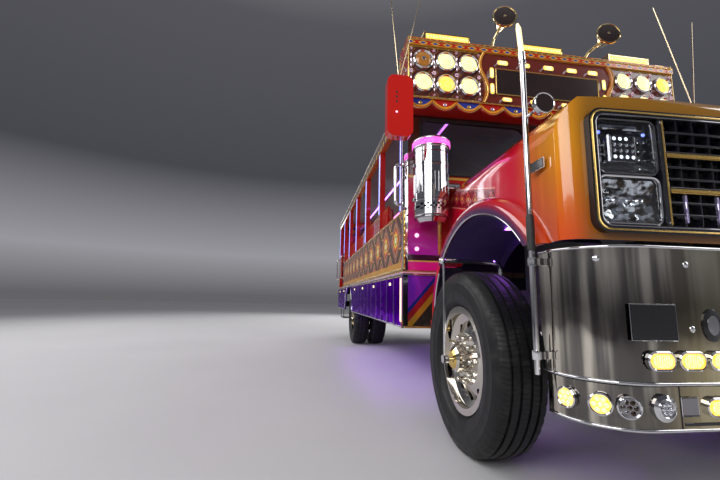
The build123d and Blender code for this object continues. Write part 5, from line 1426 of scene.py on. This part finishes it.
def oblong(shape, x, y, z, w, h, r):
    """A lit oblong lamp: chrome rim, glowing lens with brighter diodes behind its ribs."""
    shape.frame = upright((x, y, z), forward)
    frame_strip(shape, w - 0.004, h - 0.004, r - 0.004,
                ((-0.004, -0.001), (-0.004, 0.003), (0.0, 0.0045), (0.004, 0.001), (0.004, -0.001)))
    for s, d, mat in ((0.93, 0.0025, 1), (0.72, 0.0038, 2)):
        shape.prism(round_loop((w - 0.006) * s, (h - 0.006) * s, (r - 0.006) * s), 0, d, mat)
    for i in range(7):
        across = (w - 0.02) * (-0.75 + 0.25 * i)
        shape.block((across - 0.0012, -h * 0.5, 0.0035), (across + 0.0012, h * 0.5, 0.0052), 0.0006, 1)
    shape.frame = Matrix.Identity(4)


def round_lamp(shape, place, out, r, on):
    """A round lamp: chrome rim, and a lens of six cells round a middle one, lit or dark."""
    rim = [(r, -0.004), (r + 0.0015, 0.0015), (r - 0.003, 0.005), (r - 0.007, 0.002), (r - 0.007, -0.003)]
    lens = [(r - 0.006, -0.003), (r - 0.006, 0.0015), (r * 0.5, 0.0025), (0, 0.003)]
    cell = [(r * 0.23, 0), (r * 0.19, 0.003), (r * 0.1, 0.0045), (0, 0.005)]
    shape.turned(place, out, (rim, 32, 0, True), (lens, 28, 1 if on else 3),
                 *[(cell, 12, 2 if on else 4, False, (x, y, 0.002))
                   for x, y in circle(6, r * 0.52) + [(0, 0)]])


for side in (-1, 1):
    for x in (0.515, 0.645, 0.775):
        oblong(lights, side * x, -4.25, 0.66, 0.059, 0.036, 0.034)
    oblong(lights, side * 0.527, -4.232, 0.49, 0.059, 0.036, 0.034)
    round_lamp(lights, (side * 0.76, bumper_y, 0.49), forward, 0.034, False)
    # Three more on the corner of the lip, by their angles from straight ahead
    for turn, on in ((25, False), (46, True), (75, True)):
        out = Vector((side * math.sin(math.radians(turn)), -math.cos(math.radians(turn)), 0))
        round_lamp(lights, Vector((side * corner_x, corner_y, 0.49)) + out * (corner_r - lip_in + 0.0165),
                   out, 0.04, on)
lights.piece("bumper_lamp_lenses", "chassis", chrome, amber_glow, yellow_glow, dark_chrome, facets)


# Guide poles: chromed tube in two brackets each, with a rubber sleeve, a small round mirror and a lit wand
# over the ball tip.
# The poles' chrome is painted with dark and light streaks running up it, as reflections
pole_chrome = finish("pole_chrome", {"Metallic": 1}, lambda place: {
    **chrome_look(place), "Base Color": place.stretched(1, 1, 0.03).noise(70, 2).fade(0.4, 0.62).mix(
        (0.16, 0.155, 0.17), (0.86, 0.85, 0.86))})
dress(pole_chrome, "guide_poles")
panel_dark = enamel("panel_dark", shades(4, (0.015, 0.01, 0.012), (0.04, 0.022, 0.018)), 0.12, 1, 0.1)
poles = Shape()
pole_x, pole_y = 1.085, -3.96
for side in (-1, 1):
    for z in (0.64, 1.04):
        poles.turned((side * pole_x, pole_y, z - 0.02), upward,
                     ([(0.0135, 0), (0.0185, 0.001), (0.0195, 0.02), (0.0185, 0.039), (0.0135, 0.04)], 20, 0))
    poles.turned((side * pole_x, pole_y, 1.09), upward,
                 ([(0.0135, 0), (0.0175, 0.004), (0.018, 0.12), (0.0165, 0.16), (0.0135, 0.165)], 20, 1))
    poles.turned((side * pole_x, -4.11, 1.72), forward,
                 ([(0.0465, -0.02), (0.048, 0.0), (0.045, 0.003), (0.042, 0.0005), (0.042, -0.001)], 32, 0),
                 ([(0.0425, -0.001), (0.041, 0.0015), (0.02, 0.002), (0, 0.002)], 32, 2))
    poles.turned((side * pole_x, -4.086, 1.72), backward,
                 ([(0.043, -0.001), (0.042, 0.003), (0.025, 0.006), (0, 0.007)], 32, 2))
    # The wand leans a little outward
    poles.tube([(side * pole_x, pole_y, 2.0), (side * 1.087, pole_y, 2.06)], 0.0165, 16, 0)
    poles.tube([(side * 1.086, pole_y, 2.05), (side * 1.097, pole_y, 2.19), (side * 1.102, pole_y, 2.215)],
               [0.0125, 0.0125, 0.006], 14, 3)
wand_glow = lit("wand_diodes", (1.0, 0.66, 0.1), 1.1)
poles.piece("guide_pole_fittings", "chassis", chrome, gasket, panel_dark, wand_glow)


# Marquee: a sheet steel lamp board with painted panels, gilt mouldings, silver rosettes between the lamps,
# a blank name band and a scalloped valance. Its lamps have spun chrome bezels and ribbed lenses.
def marquee_paint(place):
    x, y, z = place.parts()
    a = abs(x)
    front = y < -2.632
    cells = folk(x * 4.8 + 0.13, ((z - 2.59) * 4.8).fract(), (0.04, 0.008, 0.012))
    cloudy = (place.noise(6, 3) * 0.2).mix((0.1, 0.018, 0.012), (0.2, 0.06, 0.02))
    panel = (a > 0.62).mix((0.16, 0.02, 0.012), cloudy)
    panel = ((a > 0.62) * z.between(2.575, 3.02) * 0.25).mix(panel, cells)
    dots = (abs((x * 16).fract() - 0.5) * 2 + abs((z - 3.097) * 55)) < 0.8
    band = (z > 3.078).mix(panel, dots.mix((a > 0.62).mix((0.05, 0.01, 0.02), (0.45, 0.015, 0.01)),
                                           (0.7, 0.45, 0.12)))
    border = (z > 3.112) | z.between(3.07, 3.082)
    face = border.mix(band, (0.62, 0.2, 0.02))
    side = folk(y * 3.3 + 0.2, ((z - 2.56) * 3.3).fract(), (0.35, 0.012, 0.01))
    body = (a > 1.29).mix((0.42, 0.012, 0.008), side)
    return front.mix(body, face)


dress(enamel("marquee_paint", marquee_paint, 0.2, 1, 0.2), "marquee_box")
scallops, valance_w, valance_z, valance_drop = 12, 2.59, 2.525, 0.065


def trim_paint(place):
    x, y, z = place.parts()
    a = abs(x)
    step = (a * scallops / valance_w).fract()
    low = valance_z - valance_drop * (1 - (2 * step - 1) * (2 * step - 1))
    odd = (a * (scallops / 2) / valance_w).fract() > 0.5
    cloth = odd.mix((0.5, 0.014, 0.01), (0.03, 0.05, 0.36))
    near = z - low
    cloth = (near < 0.03).mix(cloth, (0.78, 0.38, 0.02))
    cloth = (near < 0.014).mix(cloth, (0.6, 0.02, 0.012))
    row = abs((x * 9).fract() - 0.5) * 2 + abs((z - 3.055) * 42)
    top = (row < 0.85).mix((0.5, 0.016, 0.01), (row < 0.5).mix((0.75, 0.42, 0.04), (0.03, 0.06, 0.34)))
    top = (abs(z - 3.055) > 0.0165).mix(top, (0.72, 0.34, 0.03))
    return (z > 3.03).mix((z > 2.552).mix(cloth, (0.66, 0.24, 0.03)), top)


dress(enamel("valance_paint", trim_paint, 0.2, 1, 0.2), "marquee_trim")
dress(chrome, "marquee_lamps")
front_y = -2.64
lens_y = front_y - 0.0215
board, faces = Shape(), Shape()
silver_pink = plating("rosette_silver", (0.78, 0.6, 0.68), 0.2, 0.9)
for side in (-1, 1):
    for x in (0.755, 0.96, 1.165):
        for z in (2.9, 2.69):
            # One lamp at the right is out and one is dim, and one at the left is dim
            glow = {(-1, 1.165, 2.9): 4, (-1, 0.96, 2.69): 1, (1, 1.165, 2.9): 1}.get((side, x, z), 2)
            faces.frame = facing((side * x, lens_y, z), forward)
            faces.lathe([(0.069, -0.003), (0.066, 0.004), (0.052, 0.011), (0.03, 0.0155), (0, 0.017)], 32,
                        glow)
            for k in range(11):
                off = -0.055 + 0.011 * k
                half = math.sqrt(0.063 ** 2 - off ** 2)
                rise = [-half + 2 * half * m / 8 for m in range(9)]
                faces.tube([(off, up, 0.0165 - 0.0135 * ((off * off + up * up) / 0.066 ** 2))
                            for up in rise], 0.0012, 5, 4 if glow == 4 else 1)
            faces.lathe([(0.0835, 0.008), (0.0845, 0.0125), (0.0815, 0.0145), (0.0795, 0.0105)], 36, 0,
                        closed=True)
            if glow == 4:
                faces.lathe([(0.02, 0.014), (0.016, 0.019), (0, 0.021)], 16, 0)
            faces.frame = Matrix.Identity(4)
    # Rosettes and spindles between the lamps, and gilt lines round the lamp panel
    for x in (0.6525, 0.8575, 1.0625, 1.268):
        for z, r in ((2.795, 0.019), (3.005, 0.013), (2.588, 0.013)):
            for dx, dz in circle(6, r * 0.75):
                board.turned((side * x + dx, front_y, z + dz), forward,
                             ([(r * 0.48, 0), (r * 0.42, 0.005), (r * 0.2, 0.0085), (0, 0.009)], 10, 1))
            board.turned((side * x, front_y, z), forward,
                         ([(r * 0.42, 0.002), (r * 0.36, 0.009), (0, 0.012)], 12, 2))
        for low, high in ((2.62, 2.76), (2.83, 2.975)):
            spindle = [(side * x, front_y - 0.003, low + (high - low) * k / 12) for k in range(13)]
            board.tube(spindle, [0.0025 + 0.006 * abs(math.sin(math.pi * k / 4)) for k in range(13)], 8, 1)
    for z in (2.566, 3.026):
        board.tube([(side * 0.66, front_y - 0.002, z), (side * 1.288, front_y - 0.002, z)], 0.006, 8, 0)
    board.tube([(side * 1.289, front_y - 0.002, 2.562), (side * 1.289, front_y - 0.002, 3.12)], 0.0065, 8, 0)
    board.tube([(side * (0.622 - 0.036 * math.sin(2 * math.pi * k / 24)), front_y - 0.0185,
                 2.561 + 0.469 * k / 24) for k in range(25)], 0.0045, 8)
    # A lozenge row on each side panel
    for k in range(3):
        board.turned((side * 1.2955, -2.57 + 0.08 * k, 2.84), (side, 0, 0),
                     ([(0.02, -0.001), (0.016, 0.004), (0, 0.006)], 4, 1))
# The centre panel is a dark framed field, and the name band above it is left blank
board.block((-0.5, front_y - 0.006, 2.655), (0.5, front_y + 0.001, 2.895), 0.003, 3)
for (x0, z0), (x1, z1) in (((-0.5, 2.655), (0.5, 2.655)), ((-0.5, 2.895), (0.5, 2.895)),
                           ((-0.5, 2.655), (-0.5, 2.895)), ((0.5, 2.655), (0.5, 2.895))):
    board.tube([(x0, front_y - 0.007, z0), (x1, front_y - 0.007, z1)], 0.005, 8)
rope(board, (-1.285, front_y - 0.022, 3.08), (1.285, front_y - 0.022, 3.08), 0.0065, 0)
rope(board, (-1.285, front_y - 0.012, 2.552), (1.285, front_y - 0.012, 2.552), 0.007, 0)
hem = [(t / 8, valance_z - valance_drop * (1 - (2 * t / 8 - 1) ** 2)) for t in range(9)]
board.tube([((i + part) * valance_w / scallops - valance_w / 2, front_y - 0.001, z)
            for i in range(scallops) for part, z in hem], 0.0048, 8)
for i in range(scallops):
    x = (i + 0.5) * valance_w / scallops - valance_w / 2
    board.turned((x, front_y - 0.001, 2.508), forward, ([(0.017, 0), (0.015, 0.005), (0.008, 0.008),
                                                         (0, 0.0085)], 16, 1 if i % 2 else 0))
board.piece("marquee_ornament", "chassis", gilt, silver_pink, magenta_trim, panel_dark)
for x, z, w, h in ((0, 2.945, 0.055, 0.026), (0.23, 2.945, 0.055, 0.026), (0.44, 2.945, 0.055, 0.026),
                   (0.545, 2.84, 0.023, 0.055), (0.545, 2.69, 0.023, 0.055), (0.41, 2.6, 0.05, 0.023),
                   (0.15, 2.6, 0.05, 0.023)):
    for side in ((-1, 1) if x else (1,)):
        faces.frame = upright((side * x, lens_y, z), forward)
        frame_strip(faces, w - 0.003, h - 0.003, 0.019,
                    ((-0.003, -0.001), (-0.003, 0.003), (0.003, 0.003), (0.003, -0.001)))
        faces.prism(round_loop(w - 0.005, h - 0.005, 0.016), -0.001, 0.003, 1)
        faces.prism(round_loop((w - 0.005) * 0.72, (h - 0.005) * 0.72, 0.012), 0.001, 0.0055, 2)
        faces.frame = Matrix.Identity(4)
faces.piece("marquee_lenses", "chassis", chrome, amber_glow, yellow_glow, dark_chrome, amber_lens)


# Roof lamps: three diode bars and six small markers in chromed cases, and two spotlights on bent stalks
# that face forward with dark glass. They stand on the marquee's top.
roof_bright = plating("roof_lamp_plating", (0.78, 0.62, 0.34), 0.07)
dress(roof_bright, "roof_lamps")
tops = Shape()
for x in (-0.915, 0, 0.915):
    for y, mat in ((-2.581, 1), (-2.489, 0)):
        tops.block((x - 0.2, y - 0.003, 3.158), (x + 0.2, y + 0.003, 3.215), 0.003, mat)
    for i in range(14):
        tops.turned((x - 0.182 + i * 0.028, -2.584, 3.1865), forward,
                    ([(0.011, -0.001), (0.009, 0.003), (0, 0.0045)], 10, 2))
    tops.block((x - 0.195, -2.565, 3.2245), (x + 0.195, -2.505, 3.2285), 0.0015, 1)
    for side in (-1, 1):
        tops.block((x + side * 0.205, -2.583, 3.143), (x + side * 0.216, -2.487, 3.229), 0.003, 0)
for x in (-1.235, -0.56, -0.33, 0.33, 0.56, 1.235):
    tops.block((x - 0.038, -2.5935, 3.136), (x + 0.038, -2.589, 3.156), 0.003, 1)
    tops.block((x - 0.038, -2.585, 3.1595), (x + 0.038, -2.555, 3.164), 0.002, 2)
for x, z in ((-0.39, 3.4), (0.65, 3.365)):
    tops.turned((x, -2.6, z), (-0.2, -1, 0.1), ([(0.1085, 0.058), (0.111, 0.066), (0.1085, 0.077),
                                                 (0.101, 0.0785), (0.099, 0.073)], 36, 0),
                ([(0.1, 0.0745), (0.075, 0.0775), (0.03, 0.0795), (0, 0.08)], 36, 3),
                ([(0.012, 0.079), (0.01, 0.082), (0, 0.083)], 14, 0))
tops.piece("roof_lamp_lenses", "chassis", roof_bright, amber_glow, yellow_glow, panel_dark)


# Mirrors: red enamelled housings on paired arms, with a flat glass over a round spotting glass behind, and
# steel whip aerials on each.
def mirror_coat(place):
    x, y, z = place.parts()
    shell = (y < -2.6935) * z.between(2.12, 2.655) * (abs(x) < 1.502)
    bright_part = chrome_look(place, (0.8, 0.62, 0.38))
    paint = place.noise(3, 3).mix((0.55, 0.008, 0.005), (0.7, 0.02, 0.01))
    return {"Base Color": shell.mix(bright_part["Base Color"], paint), "Metallic": 1 - shell,
            "Roughness": bright_part["Roughness"] + 0.08 * shell, "height": place.noise(120, 2),
            "depth": 0.0002}


dress(finish("mirror_coat", {"Coat Weight": 0.9}, mirror_coat), "mirrors")
glasses = Shape()
for side in (-1, 1):
    x = side * 1.395
    glasses.frame = upright((x, -2.695, 2.45), backward)
    frame_strip(glasses, 0.086, 0.165, 0.04, ((-0.004, -0.002), (-0.004, 0.003), (0.004, 0.003),
                                              (0.004, -0.002)), 1)
    glasses.prism(round_loop(0.082, 0.161, 0.036), -0.001, 0.001, 0)
    glasses.turned((x, -2.695, 2.205), backward, ([(0.058, -0.001), (0.058, 0.003), (0.054, 0.004)], 28, 1),
                   ([(0.054, 0.001), (0.04, 0.005), (0.02, 0.0075), (0, 0.008)], 28, 0))
    for i, z in enumerate((2.5, 2.46, 2.42, 2.33)):
        glasses.turned((x + side * 0.03, -2.785, z), forward,
                       ([(0.0095, -0.001), (0.0085, 0.002), (0, 0.0035)], 14, 2 if i == 3 else 1))
    glasses.turned((x, -2.73, 2.6415), (side * 0.05, 0, 1),
                   ([(0.017, 0), (0.017, 0.012), (0.01, 0.02), (0.005, 0.05), (0.0045, 0.05)], 16, 3))
mirror_glass = plating("mirror_glass", (0.86, 0.88, 0.9), 0.02)
glasses.piece("mirror_glasses", "chassis", mirror_glass, gasket, pink_glow, chrome)


# Air cleaner: a chromed drum beside the cowl on two bands, with a louvred collar whose lamp ring glows
# magenta under a spun cap, and a duct into the cowl.
def cleaner_look(place):
    x, y, z = place.parts()
    look = chrome_look(place, (0.7, 0.68, 0.72), 0.04)
    # The perforations are painted as black dots, as shade in the holes
    holes = ((x * 150).sine() * (z * 150).sine() > 0.1) * z.between(1.6, 1.66)
    return {**look, "Base Color": holes.mix(look["Base Color"], (0.02, 0.02, 0.02))}


dress(finish("cleaner_chrome", {"Metallic": 1}, cleaner_look), "air_cleaner")
drum = Shape()
drum.frame = Matrix.Translation((-1.05, -2.505, 0))
drum.lathe([(0.1465, 2.136), (0.1485, 2.139), (0.1485, 2.147), (0.1465, 2.1495)], 48, 0)
drum.lathe([(0.1595, 2.153), (0.1635, 2.158), (0.1645, 2.18), (0.1635, 2.202), (0.1595, 2.207)], 56, 1,
           closed=True)
drum.lathe([(0.145, 2.2085), (0.158, 2.2125), (0.16, 2.217), (0.152, 2.224), (0.12, 2.2415), (0.05, 2.248),
            (0, 2.249)], 48, 0)
for z in (1.54, 1.69, 1.99, 2.1):
    drum.lathe([(0.1465, z - 0.006), (0.1495, z - 0.003), (0.1495, z + 0.003), (0.1465, z + 0.006)], 48, 2)
for x, y in circle(26, 0.1463):
    drum.tube([(x, y, 1.745), (x, y, 1.915)], 0.0028, 6, 0)
for z in (1.693, 1.993):
    drum.block((-0.165, -0.03, z - 0.014), (-0.148, 0.03, z + 0.014), 0.003, 0)
drum.frame = Matrix.Identity(4)
for x in (-0.905, -0.79):
    drum.turned((x, -2.415, 1.85), (1, 0, 0), ([(0.0425, -0.012), (0.046, -0.01), (0.046, 0.01),
                                                (0.0425, 0.012)], 28, 0))
magenta_glow = lit("magenta_ring", (1.0, 0.04, 0.62), 1.15, (0.5, 0.05, 0.4))
drum.piece("air_cleaner_trim", "chassis", chrome, magenta_glow, dark_chrome)


# Grab rails, rear bumper and tail lamps: polished tube with flanged feet, a chromed channel beam, and red
# lenses in chrome rims.
dress(chrome, "grab_rails", "rear_bumper")
red_glow = lit("red_lamps", (1.0, 0.03, 0.015), 0.9, (0.5, 0.01, 0.01))
dress(chrome, "tail_lamps")
tail = Shape()
for side in (-1, 1):
    for z in (1.28, 1.44):
        tail.frame = facing((side * 1.13, 4.106, z), backward)
        tail.lathe([(0.0575, -0.002), (0.0555, 0.006), (0.042, 0.012), (0.02, 0.0155), (0, 0.016)], 32,
                   1 if z > 1.4 else 2)
        tail.lathe([(0.0605, -0.014), (0.0625, -0.002), (0.0605, 0.003), (0.0575, 0.002)], 32, 0)
        for r in (0.018, 0.032, 0.046):
            top = 0.0165 - 0.011 * (r / 0.0575) ** 2
            tail.lathe([(r + 0.002, top - 0.003), (r, top), (r - 0.002, top - 0.002)], 28,
                       1 if z > 1.4 else 2)
        tail.frame = Matrix.Identity(4)
    for z in (0.655, 0.768):
        tail.tube([(side * 1.15, 4.2305, z), (side * 0.1, 4.2305, z)], 0.007, 10)
    for x in (0.3, 0.42, 0.9):
        bolt(tail, (side * x, 4.23, 0.71), backward, 0.014, 0, False)
    for y in (-2.31,) if side > 0 else (-2.31, 2.967, 4.01):
        for z in ((1.7, 2.07) if y < 0 else (1.3, 1.8)):
            tail.turned((side * 1.25, y, z), (side, 0, 0),
                        ([(0.026, 0), (0.026, 0.003), (0.018, 0.007), (0.0135, 0.009)], 22, 0))
tail.piece("tail_and_rail_fittings", "chassis", chrome, red_glow, amber_lens)
